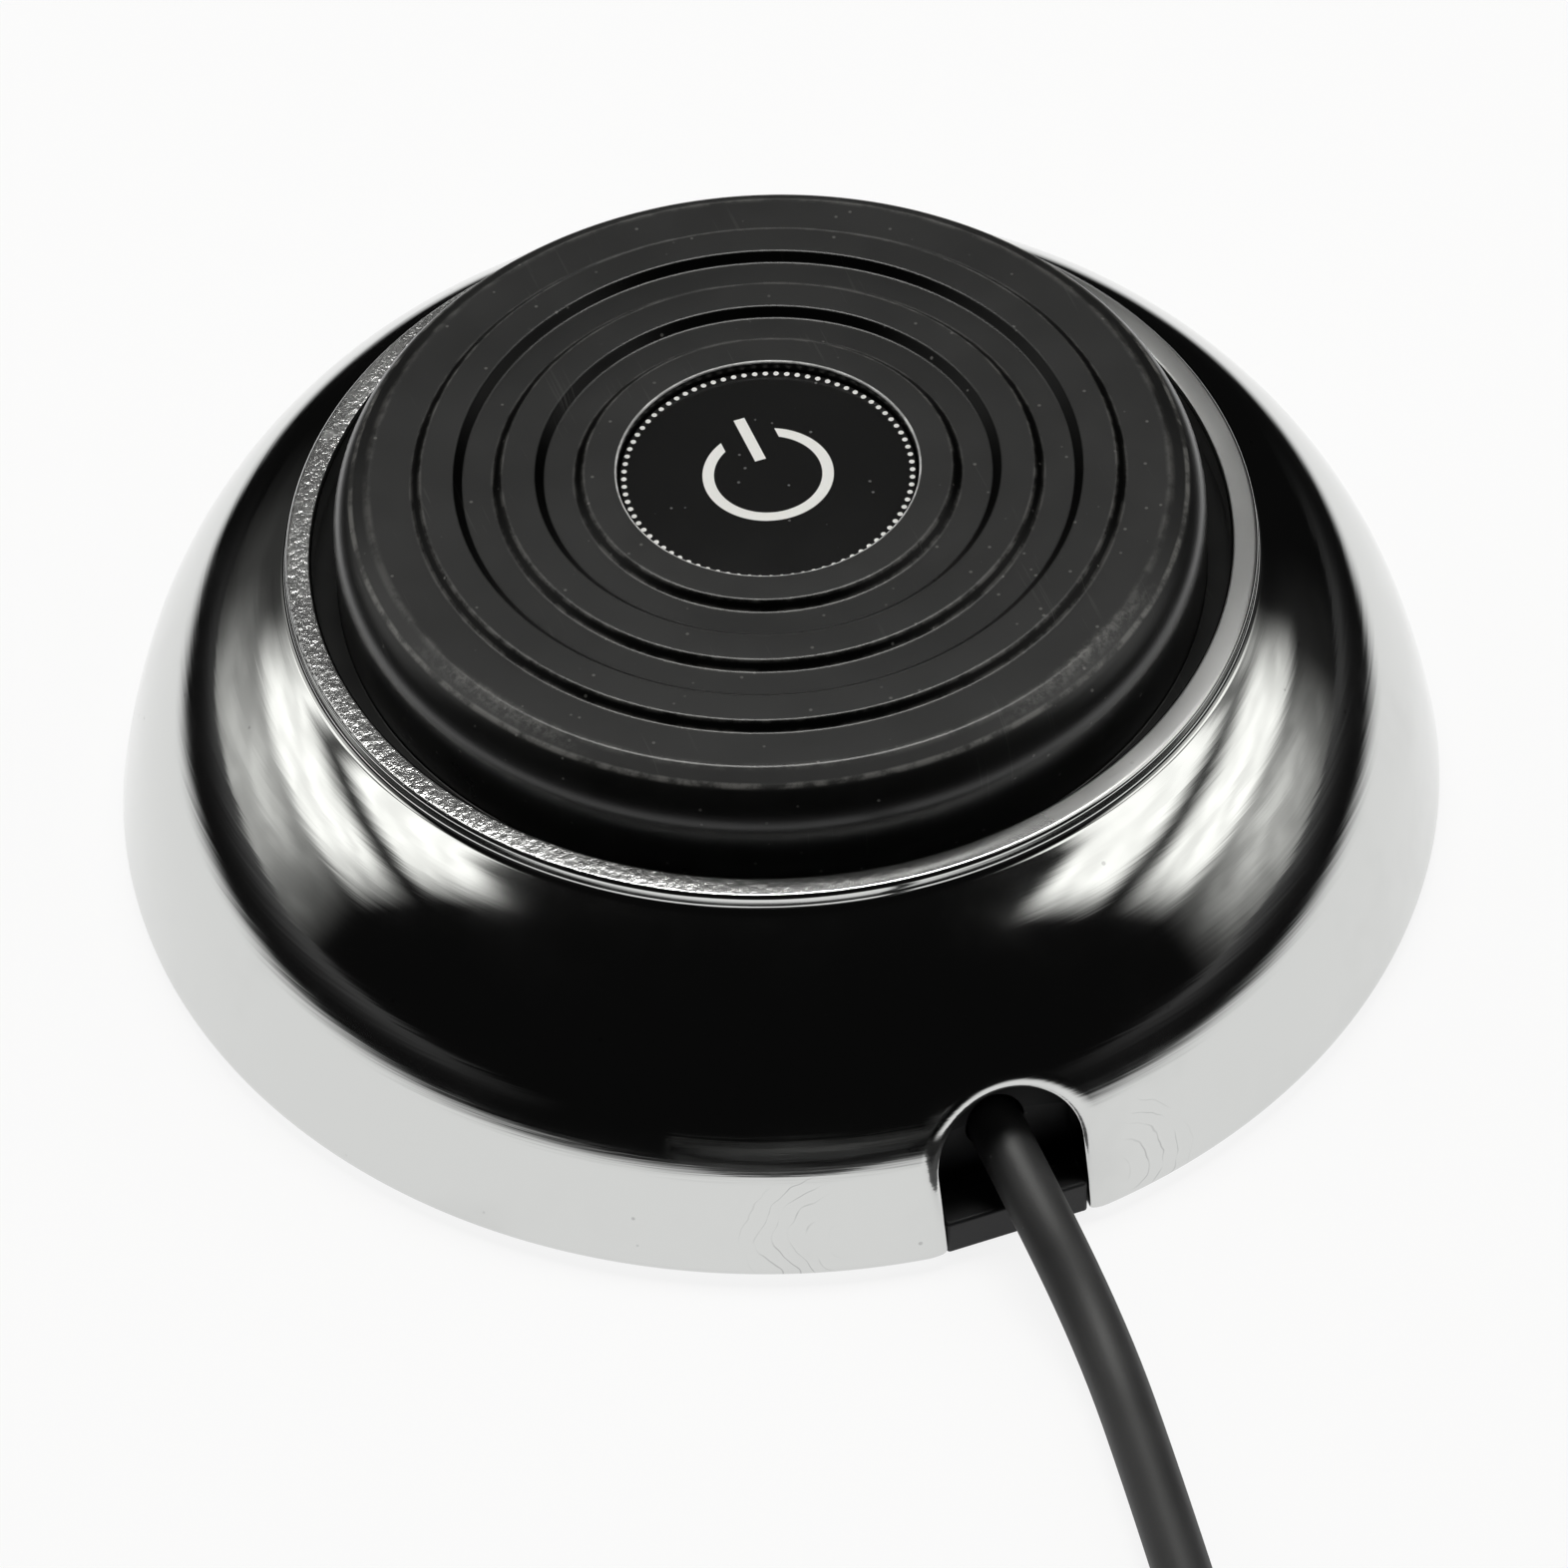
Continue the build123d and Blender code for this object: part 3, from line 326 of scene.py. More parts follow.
# %% Draw the section and spin it
BODY_STEPS = 480
WINDOW_EDGE_ROWS = 8
WINDOW_LOWER_ROWS = 8
WINDOW_MIDDLE_ROWS = 16
INNER_LOWER_ROWS = WINDOW_EDGE_ROWS + WINDOW_LOWER_ROWS
UPPER_ROWS = 14
INNER_UPPER_ROWS = 8
LIP_ROOT_ROWS = 8
LIP_ROWS = 6

inner_low_tilt = degrees(asin((BODY_BOTTOM - arc_centres[0][1]) / (ARC_RADII[0] - BODY_WALL)))
inner_high_tilt = degrees(acos((BORE_RADIUS - arc_centres[2][0]) / (ARC_RADII[2] - BODY_WALL)))
inner_bottom = on_arc(0, inner_low_tilt, BODY_WALL)
body = start_outline("body", *inner_bottom)
line_to(body, edge_centre[0], BODY_BOTTOM)
arc_about(body, *edge_centre, 90.0 + WALL_DRAFT, WINDOW_EDGE_ROWS)
arc_about(body, *arc_centres[0], ARC_TURNS[0], WINDOW_LOWER_ROWS)
arc_about(body, *arc_centres[1], ARC_TURNS[1], WINDOW_MIDDLE_ROWS)
arc_about(body, *arc_centres[2], lip_tilt - tilts[2], UPPER_ROWS)
dome_end = on_arc(2, lip_tilt)
root_centre = (LIP_OUTER + LIP_ROOT_ROUND, dome_end[1] + LIP_ROOT_ROUND * sin(radians(lip_tilt)))
arc_about(body, *root_centre, -lip_tilt, LIP_ROOT_ROWS)
line_to(body, LIP_OUTER, LIP_TOP - LIP_ROUND)
arc_about(body, LIP_OUTER - LIP_ROUND, LIP_TOP - LIP_ROUND, 90.0, LIP_ROWS)
line_to(body, LIP_INNER + LIP_ROUND, LIP_TOP)
arc_about(body, LIP_INNER + LIP_ROUND, LIP_TOP - LIP_ROUND, 90.0, LIP_ROWS)
line_to(body, LIP_INNER, LIP_TOP - LIP_THICKNESS)
line_to(body, BORE_RADIUS, LIP_TOP - LIP_THICKNESS)
line_to(body, *on_arc(2, inner_high_tilt, BODY_WALL))
arc_about(body, *arc_centres[2], tilts[2] - inner_high_tilt, INNER_UPPER_ROWS)
arc_about(body, *arc_centres[1], -ARC_TURNS[1], WINDOW_MIDDLE_ROWS)
arc_about(body, *arc_centres[0], inner_low_tilt - tilts[1], INNER_LOWER_ROWS)
spin_outline(body, BODY_STEPS)
settle(body)

# %% Open a window of whole faces where the outlet is
WINDOW_HALF_COLUMNS = 16
window_half_angle = 360.0 / BODY_STEPS * WINDOW_HALF_COLUMNS
outer_window_top = on_arc(1, tilts[2])
inner_window_top = on_arc(1, tilts[2], BODY_WALL)


def front_angle(place):
    """The angle of a place about Z, in degrees from the -Y direction."""
    return degrees(atan2(place[0], -place[1]))


pick(body)
bpy.ops.object.mode_set(mode="EDIT")
bpy.ops.mesh.select_all(action="DESELECT")
bpy.ops.mesh.select_mode(type="FACE")
window_mesh = bmesh.from_edit_mesh(body.data)
for face in window_mesh.faces:
    middle = face.calc_center_median()
    outside = face.normal.x * middle.x + face.normal.y * middle.y > 0
    below = middle.z < (outer_window_top[1] if outside else inner_window_top[1])
    beyond = hypot(middle.x, middle.y) > inner_window_top[0]
    face.select = abs(front_angle(middle)) < window_half_angle and below and beyond
bmesh.update_edit_mesh(body.data)
print(sum(face.select for face in window_mesh.faces), "faces of the window deleted")
bpy.ops.mesh.delete(type="FACE")
bpy.ops.object.mode_set(mode="OBJECT")

# %% Where the border of the window and the edge of the outlet lie
OUTLET_HALF_WIDTH = 5.6 * MM
OUTLET_ARCH_Z = 7.5 * MM
OUTLET_FLARE = 1.5 * MM
OUTLET_DROP = 0.4 * MM


def between(start, end, count):
    """The slopes from a start towards an end in equal steps, without the end itself."""
    return [start + (end - start) * i / count for i in range(count)]


outer_rows = []
for tilt in between(-90.0, WALL_DRAFT, WINDOW_EDGE_ROWS):
    across, up = polar(EDGE_ROUND, tilt)
    outer_rows.append((edge_centre[0] + across, edge_centre[1] + up, tilt))
for tilt in between(tilts[0], tilts[1], WINDOW_LOWER_ROWS):
    outer_rows.append((*on_arc(0, tilt), tilt))
inner_rows = [on_arc(0, tilt, BODY_WALL) for tilt in between(inner_low_tilt, tilts[1], INNER_LOWER_ROWS)]
for tilt in [*between(tilts[1], tilts[2], WINDOW_MIDDLE_ROWS), tilts[2]]:
    outer_rows.append((*on_arc(1, tilt), tilt))
    inner_rows.append(on_arc(1, tilt, BODY_WALL))

top_row = len(outer_rows) - 1
border = [(-window_half_angle, row) for row in range(top_row)]
for i in range(2 * WINDOW_HALF_COLUMNS + 1):
    border.append((window_half_angle * (i / WINDOW_HALF_COLUMNS - 1), top_row))
border += [(window_half_angle, row) for row in reversed(range(top_row))]
leg_rows = [row for row in range(top_row) if outer_rows[row][1] < OUTLET_ARCH_Z]
arch_count = len(border) - 2 * len(leg_rows)
print(len(border), "points along the outlet,", arch_count, "of them round its arch")

# %% Places on the dome's wall
def turned_place(radius, z, angle):
    """A place at a radius and an angle from the -Y direction."""
    return Vector((radius * sin(radians(angle)), -radius * cos(radians(angle)), z))


def surface_tilt(z, inward=0.0):
    """Which arc of the dome's wall is at a height, and its slope there."""
    for index in (0, 1):
        tilt = degrees(asin((z - arc_centres[index][1]) / (ARC_RADII[index] - inward)))
        if index == 1 or tilt < tilts[1]:
            return index, tilt


def wall_radius(z, inward=0.0):
    """How far from the axis the dome's wall, or its inner face, is at a height."""
    return on_arc(*surface_tilt(z, inward), inward)[0]


def on_wall(x, z, inward=0.0):
    """The place on the dome's wall, or its inner face, in front of a point of the outlet's outline."""
    return Vector((x, -((wall_radius(z, inward) ** 2 - x**2) ** 0.5), z))


print("wall at the top of the arch is", round(wall_radius(OUTLET_ARCH_Z + OUTLET_HALF_WIDTH), 4), "m out")

# %% Panels beside the outlet, and its rounded edge
PANEL_STEPS = 7
ROUND_STEPS = 12


def is_leg(j):
    """Whether a point of the border belongs to one of the outlet's straight legs."""
    return j < len(leg_rows) or j >= len(border) - len(leg_rows)


def dome_panel(j, rim):
    """Points over the dome, from its window to the rim of the outlet's edge."""
    angle, row = border[j]
    radius, z, _ = outer_rows[row]
    points = []
    for i in range(PANEL_STEPS + 1):
        t = i / PANEL_STEPS
        if is_leg(j):
            rim_angle = degrees(asin(rim.x / radius))
            points.append(turned_place(radius, z, angle + (rim_angle - angle) * t))
        else:
            rim_angle = front_angle(on_wall(rim.x, rim.y))
            here_z = z + (rim.y - z) * t
            points.append(turned_place(wall_radius(here_z), here_z, angle + (rim_angle - angle) * t))
    return points


def rounded_edge(top, slope, away):
    """Points from the rim on the dome, round the edge and into the outlet."""
    normal = turned_place(cos(radians(slope)), sin(radians(slope)), front_angle(top))
    sideways = Vector((away.x, 0.0, away.y))
    sideways = (sideways - sideways.dot(normal) * normal).normalized()
    pivot = top - OUTLET_DROP * normal
    points = []
    for i in range(1, ROUND_STEPS + 1):
        turn = pi / 2 * i / ROUND_STEPS
        points.append(pivot + OUTLET_DROP * cos(turn) * normal - OUTLET_FLARE * sin(turn) * sideways)
    return points


def inner_panel(j, start):
    """Points over the body's inner face, from the outlet to the window inside."""
    angle, row = border[j]
    inner_radius, inner_z = inner_rows[row]
    start_angle = front_angle(start)
    points = []
    for i in range(1, PANEL_STEPS):
        t = i / PANEL_STEPS
        here_z = start.z + (inner_z - start.z) * t
        here_angle = start_angle + (angle - start_angle) * t
        points.append(turned_place(wall_radius(here_z, BODY_WALL), here_z, here_angle))
    return [*points, turned_place(inner_radius, inner_z, angle)]


# %% Fill the window with strips: dome, rounded edge, wall of the outlet, inner face
WALL_STEPS = 3


def outlet_strip(j):
    """The row of points from the dome's window, over the outlet's edge and wall, to the window inside."""
    z, tilt = outer_rows[border[j][1]][1:]
    if is_leg(j):
        away = Vector((-1.0 if j < len(border) / 2 else 1.0, 0.0))
        edge = Vector((0.0, z)) + OUTLET_HALF_WIDTH * away
    else:
        round_angle = pi * (1 - (j - len(leg_rows)) / (arch_count - 1))
        away = Vector((cos(round_angle), sin(round_angle)))
        edge = Vector((0.0, OUTLET_ARCH_Z)) + OUTLET_HALF_WIDTH * away
    rim = edge + OUTLET_FLARE * away
    points = dome_panel(j, rim)
    slope = tilt if is_leg(j) else surface_tilt(rim.y)[1]
    points += rounded_edge(points[-1], slope, away)
    wall_start = points[-1]
    wall_z = min(max(wall_start.z, inner_rows[0][1]), inner_rows[-1][1])
    wall_end = on_wall(wall_start.x, wall_z, BODY_WALL)
    points += [wall_start.lerp(wall_end, i / WALL_STEPS) for i in range(1, WALL_STEPS + 1)]
    return points + inner_panel(j, wall_end)


strips = [outlet_strip(j) for j in range(len(border))]
across = len(strips[0]) - 1
along = len(strips) - 1
clear_selection()
bpy.ops.mesh.primitive_grid_add(x_subdivisions=across, y_subdivisions=along, size=1.0, location=(0, 0, 0))
outlet = bpy.context.object
outlet.name = "outlet"
for vertex in outlet.data.vertices:
    i = round((vertex.co.x + 0.5) * across)
    j = round((vertex.co.y + 0.5) * along)
    vertex.co = strips[j][i]
print(len(strips), "strips of", len(strips[0]), "points fill the window")

# %% Weld the filling to the dome
OUTLET_SEAM = 0.004 * MM
BODY_SMOOTH_ANGLE = 40.0


def fill_openings():
    """Closes the holes of the edited mesh."""
    bpy.ops.mesh.select_all(action="SELECT")
    bpy.ops.mesh.fill_holes(sides=0)
    turn_outwards()


pick(outlet, body)
bpy.ops.object.join()
bpy.ops.object.mode_set(mode="EDIT")
bpy.ops.mesh.select_mode(type="VERT")
weld(OUTLET_SEAM)
fill_openings()
settle(body, BODY_SMOOTH_ANGLE)

# %% [markdown]
# ## The treadle
# The treadle is one moulding: a flat top with three raised rings and a recess for the label, an edge that
# slopes off in two creases and then rounds over, a skirt that slides on the guide ring, and a flange that
# stops under the body's lip. Its section is drawn and spun like the body's. The corners are drawn sharp,
# and one bevel then breaks them all, because on black plastic the thin bright line along an edge is most
# of what the eye sees.

# %% Section of the treadle
TREADLE_RADIUS = 32.2 * MM
EDGE_START = 29.5 * MM
EDGE_CORNER = (30.75 * MM, 31.93 * MM)
EDGE_CORNER_TILT = 43.0
RING_TOP = 33.3 * MM
GROOVE = 32.65 * MM
RING_STARTS = (11.1 * MM, 17.1 * MM, 23.1 * MM)
RING_WIDTH = 2.5 * MM
RING_SLOPE = 0.62 * MM
RECESS_FLOOR = 32.25 * MM
TREADLE_UNDER = 30.0 * MM
FLANGE_RADIUS = 35.8 * MM
FLANGE_TOP = 23.3 * MM
FLANGE_BOTTOM = 21.7 * MM
SKIRT_INNER = 31.0 * MM
SKIRT_BOTTOM = 14.0 * MM
TREADLE_STEPS = 256
TREADLE_EDGE_STEPS = 20

treadle = start_outline("treadle_cap", 0.0, RECESS_FLOOR)
line_to(treadle, RING_STARTS[0], RECESS_FLOOR)
for i, ring_start in enumerate(RING_STARTS):
    if i > 0:
        line_to(treadle, ring_start - RING_SLOPE, GROOVE)
    line_to(treadle, ring_start, RING_TOP)
    line_to(treadle, ring_start + RING_WIDTH, RING_TOP)
    line_to(treadle, ring_start + RING_WIDTH + RING_SLOPE, GROOVE)
line_to(treadle, EDGE_START, GROOVE)
line_to(treadle, *EDGE_CORNER)
edge_sweep = (TREADLE_RADIUS - EDGE_CORNER[0]) / (1 - sin(radians(EDGE_CORNER_TILT)))
edge_centre_z = EDGE_CORNER[1] - edge_sweep * cos(radians(EDGE_CORNER_TILT))
edge_turn = EDGE_CORNER_TILT - 90.0
arc_about(treadle, TREADLE_RADIUS - edge_sweep, edge_centre_z, edge_turn, TREADLE_EDGE_STEPS)
line_to(treadle, TREADLE_RADIUS, FLANGE_TOP)
line_to(treadle, FLANGE_RADIUS, FLANGE_TOP)
line_to(treadle, FLANGE_RADIUS, FLANGE_BOTTOM)
line_to(treadle, TREADLE_RADIUS, FLANGE_BOTTOM)
line_to(treadle, TREADLE_RADIUS, SKIRT_BOTTOM)
line_to(treadle, SKIRT_INNER, SKIRT_BOTTOM)
line_to(treadle, SKIRT_INNER, TREADLE_UNDER)
line_to(treadle, 0.0, TREADLE_UNDER)
spin_outline(treadle, TREADLE_STEPS)
print("edge of the treadle rounds over with a radius of", round(edge_sweep / MM, 1), "mm")

# %% Break the treadle's corners
TREADLE_BREAK = 0.14 * MM
TREADLE_SHARPER_THAN = 10.0


def break_corners(width, sharper_than=25.0):
    """Bevels every sharp edge of the edited mesh."""
    bpy.ops.mesh.select_all(action="DESELECT")
    bpy.ops.mesh.select_mode(type="EDGE")
    bpy.ops.mesh.edges_select_sharp(sharpness=radians(sharper_than))
    bpy.ops.mesh.bevel(offset=width, segments=3, affect="EDGES")


break_corners(TREADLE_BREAK, TREADLE_SHARPER_THAN)
settle(treadle)

# %% [markdown]
# ## Under the treadle
# Three cups hold the tops of the return springs, six ribs stiffen the top, and a round-ended post presses
# the switch's lever. They are hidden in use, but they belong to the moulding. A loop makes the cups and
# another makes the ribs, and all of them join the treadle, set a little into its underside. Weighted
# normals then keep the flat faces looking flat beside the broken corners.

# %% Cups for the springs
SPRING_CIRCLE = 22.0 * MM
SPRING_ANGLES = (90.0, 210.0, 330.0)
CUP_OUTER = 5.6 * MM
CUP_INNER = 4.5 * MM
CUP_BOTTOM = 22.0 * MM
CUP_STEPS = 48
FACING_DOWN = -0.9
SET_IN = 0.3 * MM

cup_height = TREADLE_UNDER + SET_IN - CUP_BOTTOM
under_pieces = []
for angle in SPRING_ANGLES:
    clear_selection()
    place = (*polar(SPRING_CIRCLE, angle), CUP_BOTTOM + cup_height / 2)
    bpy.ops.mesh.primitive_cylinder_add(
        vertices=CUP_STEPS, radius=CUP_OUTER, depth=cup_height, location=place
    )
    cup = bpy.context.object
    bpy.ops.object.mode_set(mode="EDIT")
    bpy.ops.mesh.select_all(action="DESELECT")
    bpy.ops.mesh.select_mode(type="FACE")
    cup_mesh = bmesh.from_edit_mesh(cup.data)
    for face in cup_mesh.faces:
        face.select = face.normal.z < FACING_DOWN
    bmesh.update_edit_mesh(cup.data)
    bpy.ops.mesh.inset(thickness=CUP_OUTER - CUP_INNER)
    bpy.ops.mesh.extrude_region_move(TRANSFORM_OT_translate={"value": (0, 0, cup_height - SET_IN)})
    bpy.ops.object.mode_set(mode="OBJECT")
    under_pieces.append(cup)
print(len(under_pieces), "spring cups")

# %% Ribs
RIB_COUNT = 6
RIB_THICKNESS = 1.4 * MM
RIB_DEPTH = 3.0 * MM
RIB_BREAK = 0.25 * MM


def modify(piece, kind, **settings):
    """Adds a modifier to the active piece, sets it and applies it."""
    bpy.ops.object.modifier_add(type=kind)
    modifier = piece.modifiers[0]
    for name, setting in settings.items():
        setattr(modifier, name, setting)
    bpy.ops.object.modifier_apply(modifier=modifier.name)


def block(name, size, place, turn=0.0):
    """A box of a size at a place, turned about Z in degrees."""
    clear_selection()
    bpy.ops.mesh.primitive_cube_add(size=1.0, location=place, rotation=(0.0, 0.0, radians(turn)))
    piece = bpy.context.object
    piece.name = name
    piece.scale = size
    put_place_in_mesh(piece)
    return piece


rib_length = SKIRT_INNER + SET_IN
rib_size = (rib_length, RIB_THICKNESS, RIB_DEPTH + SET_IN)
rib_z = TREADLE_UNDER - RIB_DEPTH / 2 + SET_IN / 2
for i in range(RIB_COUNT):
    angle = SPRING_ANGLES[0] + 360 / RIB_COUNT * i
    rib = block("rib", rib_size, (*polar(rib_length / 2, angle), rib_z), angle)
    modify(rib, "BEVEL", width=RIB_BREAK, segments=2)
    under_pieces.append(rib)
print(RIB_COUNT, "ribs,", round(rib_length / MM, 1), "mm long")

# %% The post, and all of it joined
POST_RADIUS = 2.5 * MM
POST_END = 22.87 * MM
POST_END_STEPS = 12
POST_STEPS = 48

post = start_outline("post", 0.0, POST_END)
arc_about(post, 0.0, POST_END + POST_RADIUS, 90.0, POST_END_STEPS)
line_to(post, POST_RADIUS, TREADLE_UNDER + SET_IN)
line_to(post, 0.0, TREADLE_UNDER + SET_IN)
spin_outline(post, POST_STEPS)
under_pieces.append(settle(post))
pick(*under_pieces, treadle)
bpy.ops.object.join()
settle(treadle)
modify(treadle, "WEIGHTED_NORMAL", weight=100, keep_sharp=True)
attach(treadle, "treadle")
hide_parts("treadle")

# %% [markdown]
# ## The label
# A round of glossy printed film lies in the recess. Its print is a finish and comes later: here it is
# a thin disc with a softened rim, so that it catches the light as film does.

# %% Label disc
LABEL_RADIUS = 10.9 * MM
LABEL_TOP = 32.55 * MM
LABEL_THICKNESS = 0.3 * MM
LABEL_ROUND = 0.1 * MM
LABEL_ROUND_STEPS = 4
LABEL_STEPS = 128

label = start_outline("label", 0.0, LABEL_TOP)
line_to(label, LABEL_RADIUS - LABEL_ROUND, LABEL_TOP)
arc_about(label, LABEL_RADIUS - LABEL_ROUND, LABEL_TOP - LABEL_ROUND, -90.0, LABEL_ROUND_STEPS)
line_to(label, LABEL_RADIUS, LABEL_TOP - LABEL_THICKNESS)
line_to(label, 0.0, LABEL_TOP - LABEL_THICKNESS)
spin_outline(label, LABEL_STEPS)
settle(label)
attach(label, "treadle")
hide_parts("label_disc")

# %% [markdown]
# ## The tongue of the base plate
# The base plate reaches into the outlet with a short tongue, which closes the foot of the notch in the
# body. It is a block with broken edges, set a little into the plate behind it.

# %% Tongue
TONGUE_CLEARANCE = 0.15 * MM
TONGUE_FRONT = -49.1 * MM
TONGUE_BACK = -46.0 * MM
TONGUE_BOTTOM = 0.45 * MM
TONGUE_TOP = 3.6 * MM
TONGUE_BREAK = 0.25 * MM

tongue_width = 2 * (OUTLET_HALF_WIDTH - TONGUE_CLEARANCE)
tongue_size = (tongue_width, TONGUE_BACK - TONGUE_FRONT, TONGUE_TOP - TONGUE_BOTTOM)
tongue_place = (0.0, (TONGUE_FRONT + TONGUE_BACK) / 2, (TONGUE_BOTTOM + TONGUE_TOP) / 2)
tongue = settle(block("plate_tongue", tongue_size, tongue_place))
bpy.ops.object.mode_set(mode="EDIT")
break_corners(TONGUE_BREAK)
settle(tongue)
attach(tongue, "base")

# %% The body and the lead join the frame
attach(body, "base")
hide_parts("chrome_body")
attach(lead, "base")
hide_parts("cord_lead", "cord_coil", "cord_tail")
print("body and lead ride on the base")

# %% [markdown]
# ## The tie on the coil
# A strip of woven hook-and-loop tape wraps the coil once. The middle of the tape is drawn as a closed line
# round the coil's section and spun about the coil's middle through the width of the tape, and a Solidify
# modifier then gives it its thickness.

# %% Tie
TIE_THICKNESS = 0.8 * MM
TIE_ANGLE = 170.0
TIE_TURN = 20.0
TIE_CORNER = 1.6 * MM
TIE_CORNER_STEPS = 6
TIE_STEPS = 16
TIE_SMOOTH_ANGLE = 50.0

half_tape = TIE_THICKNESS / 2
tie_reach = CORD_RADIUS * COIL_COLUMNS + half_tape
left = COIL_CENTRE.x + COIL_MEAN_RADIUS - tie_reach
right = COIL_CENTRE.x + COIL_MEAN_RADIUS + tie_reach
low = half_tape
high = 4 * CORD_RADIUS + half_tape
corner = TIE_CORNER - half_tape
sides = (
    (right - corner, low, right - corner, low + corner),
    (right, high - corner, right - corner, high - corner),
    (left + corner, high, left + corner, high - corner),
    (left, low + corner, left + corner, low + corner),
)
tie = start_outline("tie", left + corner, low, COIL_CENTRE.y)
for end_x, end_z, corner_x, corner_z in sides:
    line_to(tie, end_x, end_z)
    arc_about(tie, corner_x, corner_z, 90.0, TIE_CORNER_STEPS)
weld()
coil_axis = (COIL_CENTRE.x, COIL_CENTRE.y, 0.0)
spin_outline(tie, TIE_STEPS, coil_axis, TIE_TURN)
bpy.ops.mesh.select_all(action="SELECT")
tie_turn = radians(TIE_ANGLE - TIE_TURN / 2)
bpy.ops.transform.rotate(value=-tie_turn, orient_axis="Z", center_override=coil_axis)
settle(tie)
modify(tie, "SOLIDIFY", thickness=TIE_THICKNESS, offset=0.0)
modify(tie, "BEVEL", width=TIE_THICKNESS / 4, segments=2)
settle(tie, TIE_SMOOTH_ANGLE)
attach(tie, "base")
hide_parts("coil_tie")

# %% [markdown]
# ## The plug
# The lead ends in a 6.35 mm plug: a moulded handle with a ringed strain relief and grip grooves, a plated
# sleeve, a thin insulating ring and a turned tip. Each is drawn as a closed section along its own axis and
# spun upright at the origin, and only then laid down along -Y, because an outline is easiest to read
# upright.

# %% How a piece of the plug is made
PLUG_STEPS = 96


def plug_piece(name, section, corner, sharper_than=25.0):
    """Spins a closed section upright, breaks its corners and lays it along -Y at the lead's end."""
    piece = start_outline(name, *section[0])
    for x, z in [*section[1:], section[0]]:
        line_to(piece, x, z)
    spin_outline(piece, PLUG_STEPS)
    put_place_in_mesh(piece)
    bpy.ops.object.mode_set(mode="EDIT")
    break_corners(corner, sharper_than)
    bpy.ops.object.mode_set(mode="OBJECT")
    piece.rotation_euler = (pi / 2, 0.0, 0.0)
    piece.location = (PLUG_X, PLUG_REAR_Y, TAIL_Z)
    return settle(piece)


# %% Handle of the plug
HANDLE_LENGTH = 34.0 * MM
HANDLE_RADIUS = 6.3 * MM
HANDLE_ROUND = 1.2 * MM
RELIEF_LENGTH = 11.0 * MM
RELIEF_REAR = 3.2 * MM
RELIEF_FRONT = 4.3 * MM
RELIEF_SLOTS = (2.0 * MM, 4.2 * MM, 6.4 * MM, 8.6 * MM)
RELIEF_SLOT_WIDTH = 0.9 * MM
RELIEF_SLOT_DEPTH = 0.6 * MM
GRIP_COUNT = 5
GRIP_FIRST = 15.0 * MM
GRIP_PITCH = 2.6 * MM
GRIP_WIDTH = 1.2 * MM
GRIP_DEPTH = 0.45 * MM
SHANK_RADIUS = 3.6 * MM
SHANK_START = 26.0 * MM
HANDLE_BREAK = 0.16 * MM


def handle_radius(height):
    """The taper of the strain relief, and then the handle's own radius."""
    if height > RELIEF_LENGTH:
        return HANDLE_RADIUS
    return RELIEF_REAR + (RELIEF_FRONT - RELIEF_REAR) * height / RELIEF_LENGTH


def groove(start, width, depth, lean=0.0):
    """The four corners of a groove in the handle's section, with walls that lean."""
    end = start + width
    return [
        (handle_radius(start), start),
        (handle_radius(start) - depth, start + lean),
        (handle_radius(end) - depth, end - lean),
        (handle_radius(end), end),
    ]


handle_section = [(CORD_RADIUS, 0.0), (RELIEF_REAR, 0.0)]
for slot in RELIEF_SLOTS:
    handle_section += groove(slot, RELIEF_SLOT_WIDTH, RELIEF_SLOT_DEPTH)
handle_section += [
    (RELIEF_FRONT, RELIEF_LENGTH),
    (HANDLE_RADIUS - HANDLE_ROUND, RELIEF_LENGTH),
    (HANDLE_RADIUS, RELIEF_LENGTH + HANDLE_ROUND),
]
for i in range(GRIP_COUNT):
    handle_section += groove(GRIP_FIRST + GRIP_PITCH * i, GRIP_WIDTH, GRIP_DEPTH, GRIP_DEPTH / 2)
handle_section += [
    (HANDLE_RADIUS, HANDLE_LENGTH - HANDLE_ROUND),
    (HANDLE_RADIUS - HANDLE_ROUND, HANDLE_LENGTH),
    (SHANK_RADIUS, HANDLE_LENGTH),
    (SHANK_RADIUS, SHANK_START),
    (CORD_RADIUS, SHANK_START),
]
handle = plug_piece("handle", handle_section, HANDLE_BREAK)

# %% Sleeve, insulator and tip of the plug
COLLAR_RADIUS = 5.0 * MM
COLLAR_END = 35.2 * MM
SLEEVE_RADIUS = 3.175 * MM
SLEEVE_BORE = 2.0 * MM
SLEEVE_END = 57.2 * MM
INSULATOR_RADIUS = 3.0 * MM
INSULATOR_END = 58.4 * MM
INSULATOR_BREAK = 0.1 * MM
ROD_RADIUS = 1.1 * MM
METAL_BREAK = 0.14 * MM
TIP_SHARPER_THAN = 18.0
# radius and height of the tip's corners, in millimetres from the insulator's end
TIP_POINTS = (
    (3.0, 0.0), (3.0, 1.2), (2.15, 2.6), (2.15, 3.2),
    (3.0, 4.3), (2.7, 5.0), (1.0, 7.3), (0.0, 7.3),
)

